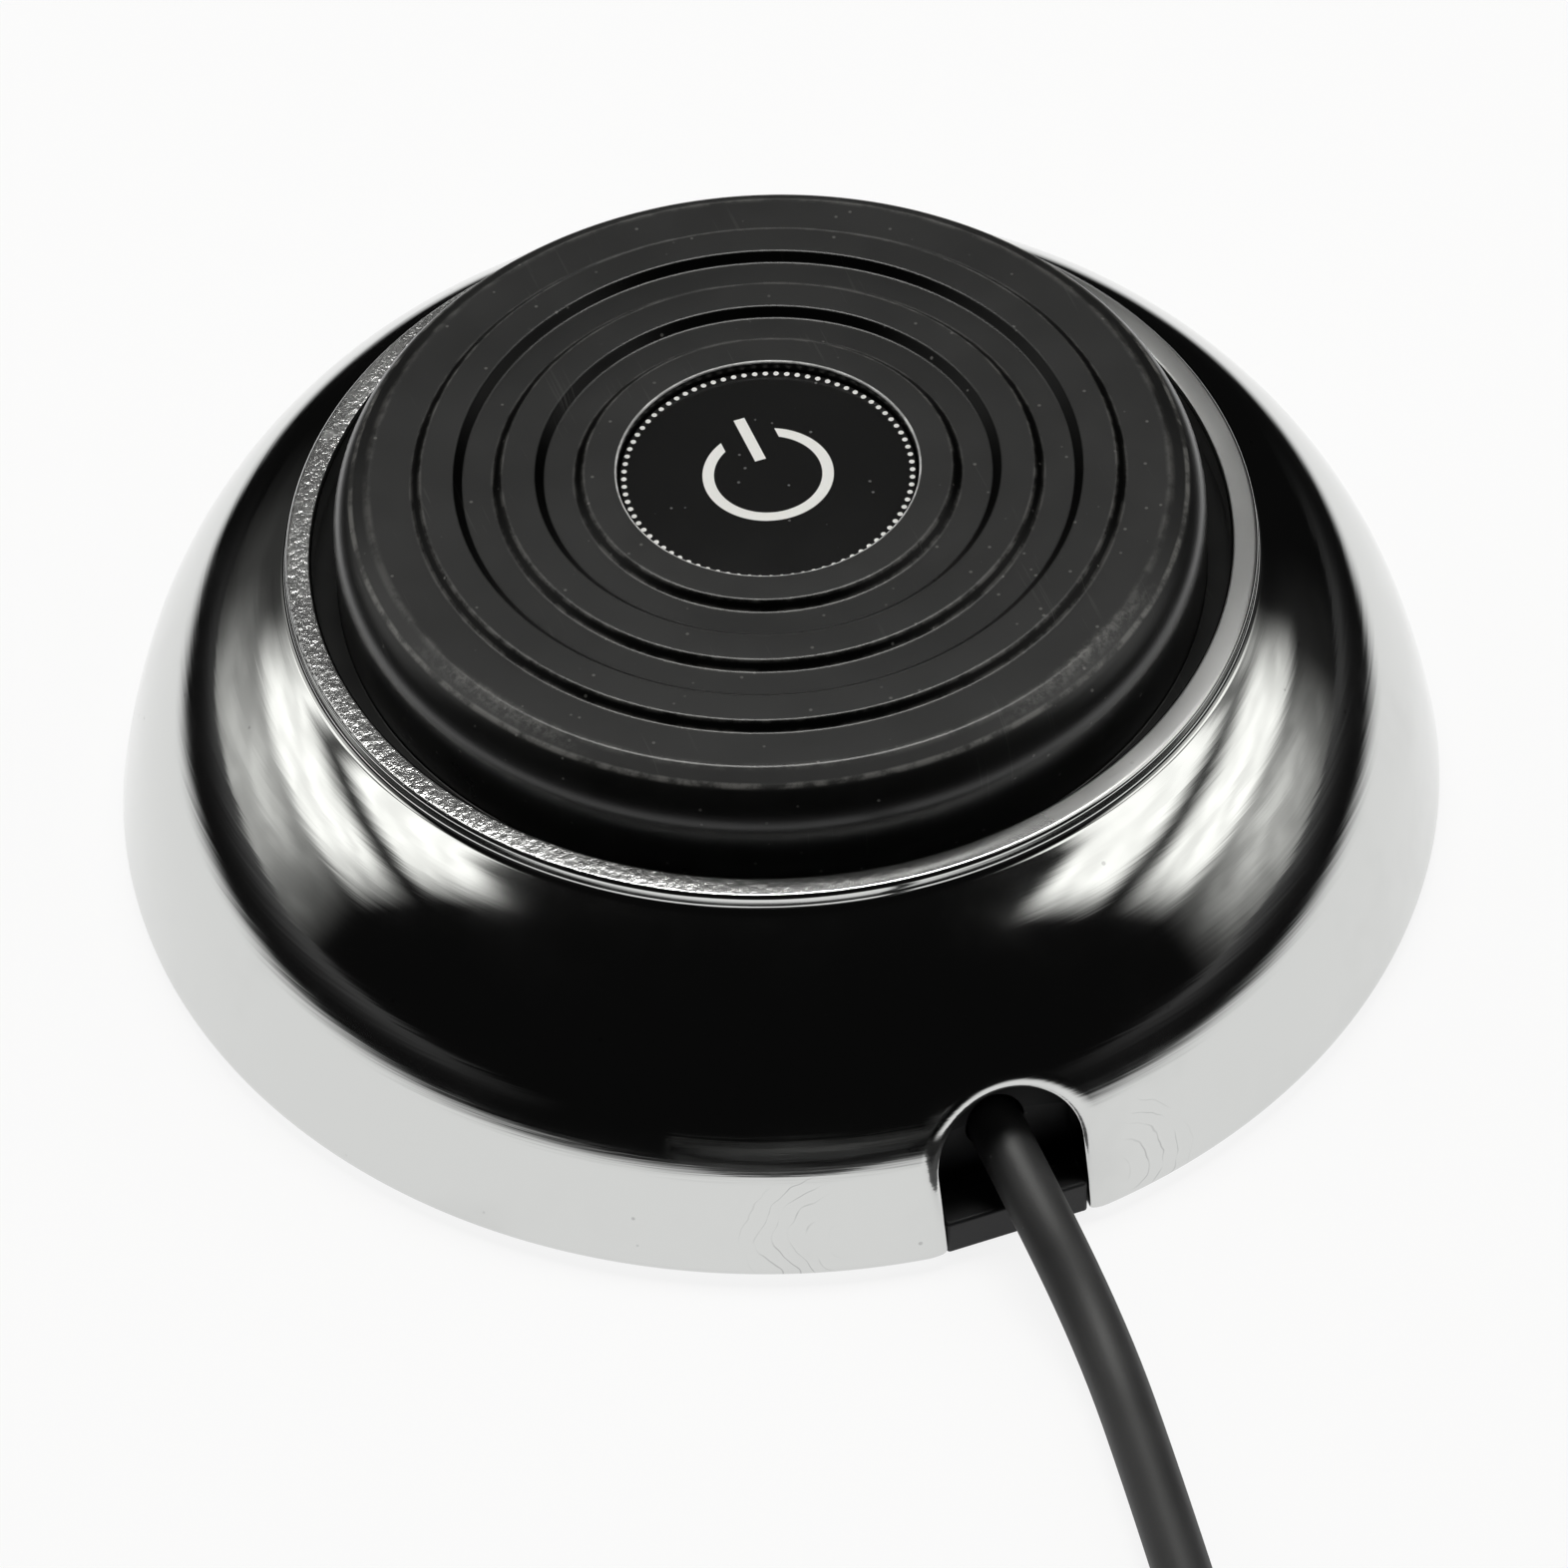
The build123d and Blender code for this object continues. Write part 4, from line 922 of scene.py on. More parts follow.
sleeve_section = [
    (SLEEVE_BORE, SHANK_START),
    (SHANK_RADIUS, SHANK_START),
    (SHANK_RADIUS, HANDLE_LENGTH),
    (COLLAR_RADIUS, HANDLE_LENGTH),
    (COLLAR_RADIUS, COLLAR_END),
    (SLEEVE_RADIUS, COLLAR_END),
    (SLEEVE_RADIUS, SLEEVE_END),
    (SLEEVE_BORE, SLEEVE_END),
]
insulator_section = [
    (ROD_RADIUS, SHANK_START),
    (SLEEVE_BORE, SHANK_START),
    (SLEEVE_BORE, SLEEVE_END),
    (INSULATOR_RADIUS, SLEEVE_END),
    (INSULATOR_RADIUS, INSULATOR_END),
    (ROD_RADIUS, INSULATOR_END),
]
tip_section = [(0.0, SHANK_START), (ROD_RADIUS, SHANK_START), (ROD_RADIUS, INSULATOR_END)]
tip_section += [(radius * MM, INSULATOR_END + z * MM) for radius, z in TIP_POINTS]
sleeve = plug_piece("sleeve", sleeve_section, METAL_BREAK)
insulator = plug_piece("insulator", insulator_section, INSULATOR_BREAK)
tip = plug_piece("tip", tip_section, METAL_BREAK, TIP_SHARPER_THAN)

# %% The plug joins the frame
plug_pieces = {
    "plug_handle": (handle, "plug_plastic"),
    "plug_sleeve": (sleeve, "plug_metal"),
    "plug_insulator": (insulator, "plug_plastic"),
    "plug_tip": (tip, "plug_metal"),
}
for node, (piece, slot_name) in plug_pieces.items():
    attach(piece, "base")
    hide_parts(node)
print(len(plug_pieces), "pieces of the plug ride on the base")

# %% The lead and what is on it
print("lead made with its tie and plug")

# %% [markdown]
# ## The return springs
# Three springs of round wire lift the treadle. A small circle of wire is moved out to the spring's radius
# and a Screw modifier winds it up. One spring is wound and copied, each copy with its own mesh.

# %% Wind one spring
SPRING_MEAN_RADIUS = 3.6 * MM
SPRING_WIRE = 0.45 * MM
SPRING_TURNS = 5.5
SPRING_SEAT = 9.0 * MM
STEPS_PER_COIL = 28
WIRE_STEPS = 12

spring_height = TREADLE_UNDER - SPRING_SEAT
clear_selection()
bpy.ops.mesh.primitive_circle_add(
    vertices=WIRE_STEPS, radius=SPRING_WIRE, location=(0, 0, 0), rotation=(pi / 2, 0, 0)
)
first_spring = bpy.context.object
put_place_in_mesh(first_spring)
bpy.ops.object.mode_set(mode="EDIT")
bpy.ops.mesh.select_all(action="SELECT")
bpy.ops.transform.translate(value=(SPRING_MEAN_RADIUS, 0.0, SPRING_SEAT + SPRING_WIRE))
bpy.ops.object.mode_set(mode="OBJECT")
winding_steps = round(SPRING_TURNS * STEPS_PER_COIL)
modify(
    first_spring,
    "SCREW",
    angle=2 * pi * SPRING_TURNS,
    screw_offset=spring_height - 2 * SPRING_WIRE,
    steps=winding_steps,
    render_steps=winding_steps,
    use_merge_vertices=False,
)
bpy.ops.object.mode_set(mode="EDIT")
fill_openings()
settle(first_spring)

springs = []
for i, angle in enumerate(SPRING_ANGLES):
    spring = first_spring.copy()
    spring.data = first_spring.data.copy()
    spring.name = f"spring_{i + 1}"
    bpy.context.scene.collection.objects.link(spring)
    spring.location = (*polar(SPRING_CIRCLE, angle), 0.0)
    settle(spring)
    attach(spring, "base")
    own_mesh(spring)
    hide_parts(f"return_spring_{i + 1}")
    springs.append(spring)
bpy.data.objects.remove(first_spring)

# %% [markdown]
# ## Writing finishes as sums
# A finish is a tree of shader nodes. Wiring it link by link hides what it computes, so one small class
# wraps a socket: adding or multiplying two of them adds the Math node, and one method makes any other node.
# All patterns read Object coordinates in metres, so a scale of 1000 makes features about a millimetre wide.

# %% A socket that does sums
class Value:
    """One value of a finish. Python's operators on it add Math nodes to its tree."""

    def __init__(self, tree, socket=None):
        self.tree = tree
        self.socket = socket

    def node(self, kind, settings=None, inputs=None, output=0):
        """Any other node: its settings first, then its sockets' values or links, and the output wanted."""
        made = self.tree.nodes.new(kind)
        for name, setting in (settings or {}).items():
            setattr(made, name, setting)
        for name, value in (inputs or {}).items():
            if isinstance(value, Value):
                self.tree.links.new(value.socket, made.inputs[name])
            else:
                made.inputs[name].default_value = value
        return Value(self.tree, made.outputs[output] if made.outputs else None)

    def math(self, operation, first, second=0.0):
        return self.node("ShaderNodeMath", {"operation": operation}, {0: first, 1: second})

    def __add__(self, other):
        return self.math("ADD", self, other)

    def __radd__(self, other):
        return self.math("ADD", other, self)

    def __sub__(self, other):
        return self.math("SUBTRACT", self, other)

    def __rsub__(self, other):
        return self.math("SUBTRACT", other, self)

    def __mul__(self, other):
        return self.math("MULTIPLY", self, other)

    def __rmul__(self, other):
        return self.math("MULTIPLY", other, self)

    def __truediv__(self, other):
        return self.math("DIVIDE", self, other)


# %% Places and distances in a finish
def new_finish(name):
    """An empty material, and the place on the piece in metres."""
    material = bpy.data.materials.new(name)
    material.use_nodes = True
    material.node_tree.nodes.clear()
    place = Value(material.node_tree).node("ShaderNodeTexCoord", output="Object")
    return material, place


def axes(place):
    """The x, y and z of a place."""
    split = place.node("ShaderNodeSeparateXYZ", inputs={0: place}).socket.node
    return [Value(place.tree, socket) for socket in split.outputs]


def flat_radius(place):
    """The distance of a place from the upright axis."""
    flat = place.node("ShaderNodeVectorMath", {"operation": "MULTIPLY"}, {0: place, 1: (1.0, 1.0, 0.0)})
    return place.node("ShaderNodeVectorMath", {"operation": "LENGTH"}, {0: flat}, "Value")


def toward(place, direction):
    """How far a place lies in a direction."""
    settings = {"operation": "DOT_PRODUCT"}
    return place.node("ShaderNodeVectorMath", settings, {0: place, 1: direction}, "Value")


def step(value, low, high):
    """0 below low, 1 above high, smooth between."""
    settings = {"interpolation_type": "SMOOTHSTEP"}
    return value.node("ShaderNodeMapRange", settings, {"Value": value, "From Min": low, "From Max": high})


def band(value, middle, half_width, soft):
    """1 within half a width of the middle, 0 outside."""
    away = value.math("ABSOLUTE", value - middle)
    return 1 - step(away, half_width - soft, half_width + soft)


# %% Patterns
def noise(place, scale, detail=3.0, rough=0.5):
    """Cloudy noise between 0 and 1."""
    inputs = {"Vector": place, "Scale": scale, "Detail": detail, "Roughness": rough}
    return place.node("ShaderNodeTexNoise", inputs=inputs)


def stretched(place, turn, scale):
    """The place turned about Z and scaled unevenly, to draw noise out into streaks."""
    inputs = {"Vector": place, "Rotation": (0, 0, radians(turn)), "Scale": scale}
    return place.node("ShaderNodeMapping", inputs=inputs)


def specks(place, scale, size):
    """Small round spots, in a few cells of an uneven mosaic."""
    cells = {"Vector": place, "Scale": scale}
    away = place.node("ShaderNodeTexVoronoi", inputs=cells)
    lot = place.node("ShaderNodeTexVoronoi", inputs=cells, output="Color")
    drawn = step(lot.node("ShaderNodeSeparateColor", inputs={0: lot}), 0.72, 0.8)
    return (1 - step(away, size * 0.5, size)) * drawn


# %% Colours and surfaces
def mixed(factor, first, second):
    """One colour over another."""
    return factor.node("ShaderNodeMix", {"data_type": "RGBA"}, {0: factor, 6: first, 7: second}, 2)


def bumped(height, distance):
    """A normal that follows a height."""
    inputs = {"Height": height, "Distance": distance, "Strength": 1.0}
    return height.node("ShaderNodeBump", inputs=inputs)


def coat(material, place, inputs):
    """The surface itself, from its shader's sockets."""
    shader = place.node("ShaderNodeBsdfPrincipled", inputs=inputs)
    place.node("ShaderNodeOutputMaterial", inputs={"Surface": shader})
    print("finish", material.name, "with", len(material.node_tree.nodes), "nodes")
    return material


def grey(value, tint=(1.0, 1.0, 1.0)):
    """A colour of one brightness."""
    return (value * tint[0], value * tint[1], value * tint[2], 1.0)


def dress(piece, material):
    """Gives a piece its one finish."""
    piece.data.materials.clear()
    piece.data.materials.append(material)


# %% [markdown]
# ## Chrome plate
# Bright plate over a casting is a mirror with a history: thin curved lines, left by the flow of the metal,
# show through it on both sides of the outlet, the plate is very slightly wavy, and the top of the lip is
# duller, grainy on one side and smooth on the other. The waves and the grain are bump and not shape,
# because they are far finer than the mesh.

# %% Chrome finish
# each patch of flow lines: its middle, the side it spreads to and its reach
FLOW_MARKS = (
    ((-12.4 * MM, -47.7 * MM, 4.0 * MM), -1.0, 9.0 * MM),
    ((7.4 * MM, -49.0 * MM, 3.4 * MM), 1.0, 7.6 * MM),
)
FLOW_PITCH = 1.15 * MM
FLOW_LINE = 0.05 * MM
FLOW_WANDER = 4.5 * MM
GRAINY_SIDE = (-0.95, 0.32, 0.0)
GRAINY_SPAN = (-16.0 * MM, 22.0 * MM)
SMOOTH_SPAN = (-30.0 * MM, -12.0 * MM)
WAVE_DEPTH = 0.05 * MM
STREAK_DEPTH = 0.006 * MM
GRAIN_DEPTH = 0.11 * MM
LIP_GRAIN_DEPTH = 0.006 * MM
PLATE_COLOUR = grey(0.67, (0.99, 1.0, 0.985))
LIP_COLOUR = grey(0.62)
STAIN_COLOUR = grey(0.24)

chrome, place = new_finish("chrome_plate")
x, _, z = axes(place)
lip_face = step(z, LIP_TOP - 0.12 * MM, LIP_TOP - 0.02 * MM)
side = toward(place, GRAINY_SIDE)
grainy = step(side, *GRAINY_SPAN) * lip_face
smooth_side = (1 - step(side, *SMOOTH_SPAN)) * lip_face
wander = noise(place, 150.0, 3.0) * FLOW_WANDER
flow_lines = 0.0
for centre, side_sign, reach in FLOW_MARKS:
    away = place.node("ShaderNodeVectorMath", {"operation": "DISTANCE"}, {0: place, 1: centre}, "Value")
    ring = place.math("FLOORED_MODULO", away + wander, FLOW_PITCH)
    lines = band(ring, FLOW_PITCH / 2, FLOW_LINE, 0.8 * FLOW_LINE)
    flow_side = step((x - centre[0]) * side_sign, 0.5 * MM, 3.0 * MM)
    flow_lines = lines * flow_side * (1 - step(away, 0.6 * reach, reach)) + flow_lines
flow_lines = flow_lines * step(noise(place, 330.0, 2.0), 0.34, 0.6)
waves = noise(place, 85.0, 1.0)
streaks = noise(stretched(place, 0.0, (60.0, 60.0, 2600.0)), 1.0, 3.0)
grain = noise(place, 1700.0, 3.0, 0.6) * (grainy * GRAIN_DEPTH + lip_face * LIP_GRAIN_DEPTH)
smudge = noise(place, 70.0, 4.0, 0.6)
stains = specks(place, 420.0, 0.09) * 0.4 + flow_lines * 0.42 + step(smudge, 0.5, 0.8) * 0.1
plate = mixed(lip_face, PLATE_COLOUR, LIP_COLOUR)
lip_dullness = 0.12 * lip_face + 0.07 * grainy + 0.14 * smooth_side
coat(chrome, place, {
    "Base Color": mixed(stains, plate, STAIN_COLOUR),
    "Metallic": 1.0,
    "Roughness": 0.07 + 0.06 * step(smudge, 0.42, 0.75) + lip_dullness,
    "Normal": bumped(waves * WAVE_DEPTH + streaks * STREAK_DEPTH + grain, 1.0),
})
dress(body, chrome)

# %% [markdown]
# ## Satin black plastic of the treadle
# The moulding is black with a fine satin grain. A lighter, broken line along the corners of the rings is
# partly rubbed wear and partly painted highlight; the edge's two creases carry painted highlight lines and
# two painted highlight spots; scratches and dust are real, and a painted highlight line runs round the
# recess.
# The slopes of the rings are painted shade: made mostly metallic, this black mirrors next to nothing. The
# rings repeat at one pitch, so a remainder of the radius finds all their corners and slopes at once.

# %% Treadle finish: where its corners, slopes and painted highlight spots are
RING_PITCH = RING_STARTS[1] - RING_STARTS[0]
RINGS_END = (26.6 * MM, 27.0 * MM)
WEAR_AND_HIGHLIGHT_HALF = 0.14 * MM
WEAR_AND_HIGHLIGHT_SOFT = 0.09 * MM
SLOPE_SOFT = 0.06 * MM
HIGHLIGHT_SPOT_SIDES = ((-0.88, -0.47, 0.0), (0.50, -0.87, 0.0))
HIGHLIGHT_SPOT_SPAN = (28.8 * MM, 29.6 * MM)

treadle_finish, place = new_finish("satin_treadle")
z = axes(place)[2]
radius = flat_radius(place)
along_ring = place.math("FLOORED_MODULO", radius - RING_STARTS[0] + RING_SLOPE, RING_PITCH)
# Lines on the ring corners and feet: partly rubbed wear, partly painted highlight.
ring_corner = band(along_ring, RING_SLOPE + RING_WIDTH, WEAR_AND_HIGHLIGHT_HALF, WEAR_AND_HIGHLIGHT_SOFT)
ring_foot = band(along_ring, 2 * RING_SLOPE + RING_WIDTH, WEAR_AND_HIGHLIGHT_HALF, WEAR_AND_HIGHLIGHT_SOFT)
among_rings = 1 - step(radius, *RINGS_END)
ring_wear_and_highlight = (ring_corner + ring_foot * 0.7) * among_rings
# The ring slopes, where painted shade is put.
outer_slope = band(along_ring, 1.5 * RING_SLOPE + RING_WIDTH, 0.5 * RING_SLOPE, SLOPE_SOFT)
inner_slope = band(along_ring, 0.5 * RING_SLOPE, 0.5 * RING_SLOPE, SLOPE_SOFT)
slopes_painted_dark = (outer_slope + inner_slope) * among_rings
# Painted highlight lines along the two creases of the edge.
first_crease = band(radius, EDGE_START, 0.25 * MM, 0.2 * MM)
second_crease = band(radius, EDGE_CORNER[0], 0.16 * MM, 0.1 * MM)
edge_highlight_lines = first_crease * 0.7 + second_crease * 1.8
on_top = step(z, EDGE_CORNER[1] - 0.4 * MM, EDGE_CORNER[1] - 0.1 * MM)
# Two painted highlight spots on the edge, at the front left and the front right.
highlight_spots = 0.0
for spot in HIGHLIGHT_SPOT_SIDES:
    highlight_spots = step(toward(place, spot), *HIGHLIGHT_SPOT_SPAN) + highlight_spots
print("rings repeat every", round(RING_PITCH / MM, 2), "mm")

# %% Treadle finish: wear, dust, painted highlights, painted shade and sheen
DARK_MOULDING = grey(0.003)
LIGHT_MOULDING = grey(0.006)
PALE_WEAR_AND_HIGHLIGHT = grey(0.24, (1.0, 0.98, 0.94))
RIM_HIGHLIGHT_COLOUR = grey(0.62)


def scratches(place, turn, scale, keep):
    """Fine straight scratches along one direction."""
    streaks = noise(stretched(place, turn, (scale, scale / 40, scale / 40)), 1.0, 2.0)
    patches = step(noise(place, 140.0, 2.0), 0.5, 0.62)
    return step(streaks, keep, keep + 0.03) * patches


broken = step(noise(place, 420.0, 4.0, 0.7), 0.4, 0.62)
# Painted highlight lines on the edge creases and, mixed with real rub, on the ring corners, broken up and
# kept to the top.
wear_and_highlight_lines = (ring_wear_and_highlight + edge_highlight_lines) * on_top * (0.12 + 0.88 * broken)
highlight_spots = highlight_spots * band(radius, EDGE_START, 0.7 * MM, 0.6 * MM)
highlight_spots = highlight_spots * step(noise(place, 1900.0, 3.0, 0.7), 0.36, 0.7)
cloud = noise(place, 110.0, 4.0, 0.6)
marks = scratches(place, 20.0, 2600.0, 0.66) + scratches(place, 130.0, 2500.0, 0.67)
dust = specks(place, 900.0, 0.15) + specks(place, 420.0, 0.07)
# Pale mix: painted highlights together with real scratches and dust.
wear_dust_and_highlights = wear_and_highlight_lines * 0.24 + highlight_spots * 0.3 + marks * 0.05 + dust * 0.35
rim_height = step(z, RING_TOP - 0.2 * MM, RING_TOP - 0.12 * MM)
# A painted highlight line round the rim of the recess.
rim_line = band(radius, RING_STARTS[0] + 0.06 * MM, 0.09 * MM, 0.05 * MM)
recess_rim_highlight = rim_line * rim_height * (0.55 + 0.45 * broken)
base_colour = mixed(step(cloud, 0.35, 0.7), DARK_MOULDING, LIGHT_MOULDING)
wear_and_highlight_colour = mixed(wear_dust_and_highlights, base_colour, PALE_WEAR_AND_HIGHLIGHT)
satin = noise(place, 5200.0, 2.0)
coat(treadle_finish, place, {
    "Base Color": mixed(recess_rim_highlight, wear_and_highlight_colour, RIM_HIGHLIGHT_COLOUR),
    "Roughness": 0.24 + 0.14 * on_top * (1 - slopes_painted_dark) + 0.1 * cloud,
    # Painted shade: the slopes are made mostly metallic, so they stay dark.
    "Metallic": slopes_painted_dark * 0.85 * (1 - wear_dust_and_highlights),
    "Coat Weight": 0.25 * (1 - slopes_painted_dark),
    "Coat Roughness": 0.2,
    "Normal": bumped(satin, 0.004 * MM),
})
dress(treadle, treadle_finish)

# %% [markdown]
# ## Printed film of the label
# The film is glossy black with a white print: a row of beads and a plain on-off sign. The print could be
# cut as meshes, but it has no thickness on a real film, so it is drawn by distances: a ring is a band of the
# radius, and the beads are distances inside equal slices of the turn.

# %% Label finish
BEAD_COUNT = 84
BEAD_CIRCLE = 10.6 * MM
BEAD_RADIUS = 0.2 * MM
SIGN_RADIUS = 4.4 * MM
SIGN_STROKE = 0.42 * MM
SIGN_GAP = 2.1 * MM
BAR_LOW = 1.6 * MM
BAR_HIGH = 6.2 * MM
PRINT_SOFT = 0.03 * MM
FILM_BLACK = grey(0.012)
PRINT_WHITE = grey(0.8, (1.0, 0.99, 0.97))
FILM_DUST = grey(0.3)

film, place = new_finish("printed_film")
x, y, z = axes(place)
radius = flat_radius(place)
turn = place.math("ARCTAN2", y, x)
slice_place = place.math("FLOORED_MODULO", turn * (BEAD_COUNT / (2 * pi)), 1.0) - 0.5
bead_side = slice_place * radius * (2 * pi / BEAD_COUNT)
bead_out = radius - BEAD_CIRCLE
bead_away = place.math("SQRT", bead_side * bead_side + bead_out * bead_out)
beads = 1 - step(bead_away, BEAD_RADIUS - PRINT_SOFT, BEAD_RADIUS + PRINT_SOFT)
in_gap = band(x, 0.0, SIGN_GAP, PRINT_SOFT) * step(y, 0.0, PRINT_SOFT)
sign_ring = band(radius, SIGN_RADIUS, SIGN_STROKE, PRINT_SOFT) * (1 - in_gap)
bar_height = band(y, (BAR_LOW + BAR_HIGH) / 2, (BAR_HIGH - BAR_LOW) / 2, PRINT_SOFT)
bar = band(x, 0.0, SIGN_STROKE, PRINT_SOFT) * bar_height
white_print = place.math("MAXIMUM", beads, place.math("MAXIMUM", sign_ring, bar))
printed = white_print * step(z, LABEL_TOP - 0.05 * MM, LABEL_TOP - 0.02 * MM)
film_dust = specks(place, 900.0, 0.13) * 0.4
film_colour = mixed(printed, FILM_BLACK, PRINT_WHITE)
coat(film, place, {
    "Base Color": mixed(film_dust, film_colour, FILM_DUST),
    "Roughness": 0.12 + 0.2 * printed + 0.08 * noise(place, 220.0, 3.0),
    "Normal": bumped(noise(place, 350.0, 2.0) + printed * 0.2, 0.01 * MM),
})
dress(label, film)

# %% [markdown]
# ## Plain mouldings and metals
# The rest are a few families of finish: moulded plastics, rubber, plated steels and wire coverings. One
# function makes a moulding and one makes a metal, and each piece differs by its colour, its roughness and
# the size of its grain, as the real pieces differ by their resin and their bath.

# %% Mouldings
def moulded(name, colour, roughness, grain_scale, grain_depth=0.006 * MM, shine=0.5):
    """A moulded plastic or rubber: clouded colour, fine grain, a little dust."""
    material, place = new_finish(name)
    cloud = noise(place, 180.0, 3.0)
    dust = specks(place, 800.0, 0.14)
    lighter = tuple(min(1.0, part * 1.5) for part in colour)
    tone = mixed(step(cloud, 0.3, 0.75), (*colour, 1.0), (*lighter, 1.0))
    return coat(material, place, {
        "Base Color": mixed(dust * 0.3, tone, grey(0.2)),
        "Roughness": roughness + 0.12 * cloud,
        "Specular IOR Level": shine,
        "Normal": bumped(noise(place, grain_scale, 2.0), grain_depth),
    })


plate_plastic = moulded("black_plate", (0.008, 0.008, 0.009), 0.42, 3800.0, shine=0.3)
pad_rubber = moulded("pad_rubber", (0.006, 0.006, 0.0065), 0.68, 2400.0, 0.02 * MM, 0.1)
switch_plastic = moulded("switch_black", (0.02, 0.02, 0.021), 0.4, 4200.0)
plunger_plastic = moulded("plunger_red", (0.42, 0.03, 0.025), 0.3, 4200.0)
red_cover = moulded("red_wire", (0.4, 0.02, 0.02), 0.35, 3000.0)
white_cover = moulded("white_wire", (0.62, 0.61, 0.58), 0.35, 3000.0)
plug_plastic = moulded("plug_black", (0.014, 0.014, 0.015), 0.4, 3600.0)
lead_cover = moulded("lead_jacket", (0.015, 0.015, 0.0155), 0.46, 2600.0, 0.012 * MM)

# %% Metals
def metal(name, colour, roughness, turn=0.0):
    """A plated or drawn metal with fine streaks along one direction."""
    material, place = new_finish(name)
    streaks = noise(stretched(place, turn, (3000.0, 160.0, 160.0)), 1.0, 2.0)
    stain = noise(place, 260.0, 4.0, 0.6)
    darker = tuple(part * 0.72 for part in colour)
    return coat(material, place, {
        "Base Color": mixed(step(stain, 0.35, 0.75), (*colour, 1.0), (*darker, 1.0)),
        "Metallic": 1.0,
        "Roughness": roughness + 0.16 * streaks,
        "Normal": bumped(streaks, 0.004 * MM),
    })


zinc = metal("zinc_screw", (0.62, 0.63, 0.64), 0.25)
spring_steel = metal("spring_steel", (0.56, 0.56, 0.57), 0.2, 40.0)
tinned = metal("tinned_lug", (0.72, 0.69, 0.6), 0.28, 90.0)
nickel = metal("nickel_plug", (0.86, 0.84, 0.8), 0.34)

# %% [markdown]
# ## Woven tie
# The tape of the tie is a plain weave. Two sets of soft waves that cross, one along the coil's radius and
# one across it, give its threads as bump and as a small change of colour.

# %% Tie finish
THREAD_PITCH = 0.55 * MM
THREAD_DARK = grey(0.010)
THREAD_LIGHT = grey(0.034)

weave, place = new_finish("woven_tape")
x, y, z = axes(place)
across_threads = place.math("SINE", x * (2 * pi / THREAD_PITCH))
along_threads = place.math("SINE", (y + z) * (2 * pi / THREAD_PITCH))
threads = across_threads * along_threads * 0.5 + 0.5
fuzz = noise(place, 2600.0, 4.0, 0.7)
coat(weave, place, {
    "Base Color": mixed(threads * 0.6 + fuzz * 0.4, THREAD_DARK, THREAD_LIGHT),
    "Roughness": 0.78 + 0.15 * fuzz,
    "Normal": bumped(threads + fuzz * 0.6, 0.05 * MM),
})
dress(tie, weave)

# %% Give the remaining pieces their finishes
made_finishes = {
    lead_cover: [lead],
    plate_plastic: [tongue],
    plug_plastic: [handle, insulator],
    nickel: [sleeve, tip],
    spring_steel: springs,
}
node_finishes = {
    plate_plastic: ["base_plate", "cord_clamp"],
    pad_rubber: ["floor_pad"],
    zinc: ["base_screws", "switch_screws", "clamp_screws"],
    switch_plastic: ["switch_case", "switch_cover"],
    spring_steel: ["switch_lever"],
    plunger_plastic: ["switch_plunger"],
    tinned: ["terminal_common", "terminal_closed", "terminal_open"],
    red_cover: ["wire_common"],
    white_cover: ["wire_open"],
}
for finish, pieces in made_finishes.items():
    for piece in pieces:
        dress(piece, finish)
for finish, nodes in node_finishes.items():
    for node in nodes:
        dress(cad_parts[node], finish)
kept_count = sum(len(nodes) for nodes in node_finishes.values())
print(kept_count, "pieces of the frame keep their shape and get a finish")

# %% [markdown]
# ## Floor and light
# The switch stands on a white sheet in a dim room. Chrome has no colour of its own, so its look is the
# room's: the sheet shows white round the foot of the dome and ends about 96 mm from its middle. A soft
# window of three cards on each side shows as a bright patch on a dark dome, with a dim wall behind it, and a
# low window at the back brightens the far side. One ceiling light gives the level. The floor is
# plain and pale to the eye everywhere, and only mirrors see where the sheet ends; beyond it they see a dim
# floor with a painted pool of window light below each side window.

# %% Floor
FLOOR_SIZE = 6.0
FLOOR_DROP = 0.05 * MM
SHEET_RADIUS = 96.0 * MM
SHEET_SOFT = 14.0 * MM
FLOOR_WHITE = 0.86
FLOOR_PALE = 0.82
ROOM_GREY = 0.004
# grey of the painted window light on the far floor
WINDOW_POOL_GREY = 0.06
SIDE_FADE_END = 400.0 * MM
SIDEWAYS = (0.947, -0.321, 0.0)

clear_selection()
bpy.ops.mesh.primitive_plane_add(size=FLOOR_SIZE, location=(0.0, 0.0, -FLOOR_DROP))
floor = bpy.context.object
floor.name = "floor"
floor_finish, place = new_finish("pale_floor")
seen = place.node("ShaderNodeLightPath", output="Is Camera Ray")
mirrored = place.node("ShaderNodeLightPath", output="Is Glossy Ray")
through = place.node("ShaderNodeLightPath", output="Is Transmission Ray")
beyond = step(flat_radius(place), SHEET_RADIUS - SHEET_SOFT, SHEET_RADIUS + SHEET_SOFT)
pale = place.node("ShaderNodeBsdfDiffuse", inputs={"Color": grey(FLOOR_PALE)})
white = place.node("ShaderNodeEmission", inputs={"Color": grey(1.0), "Strength": 1.0})
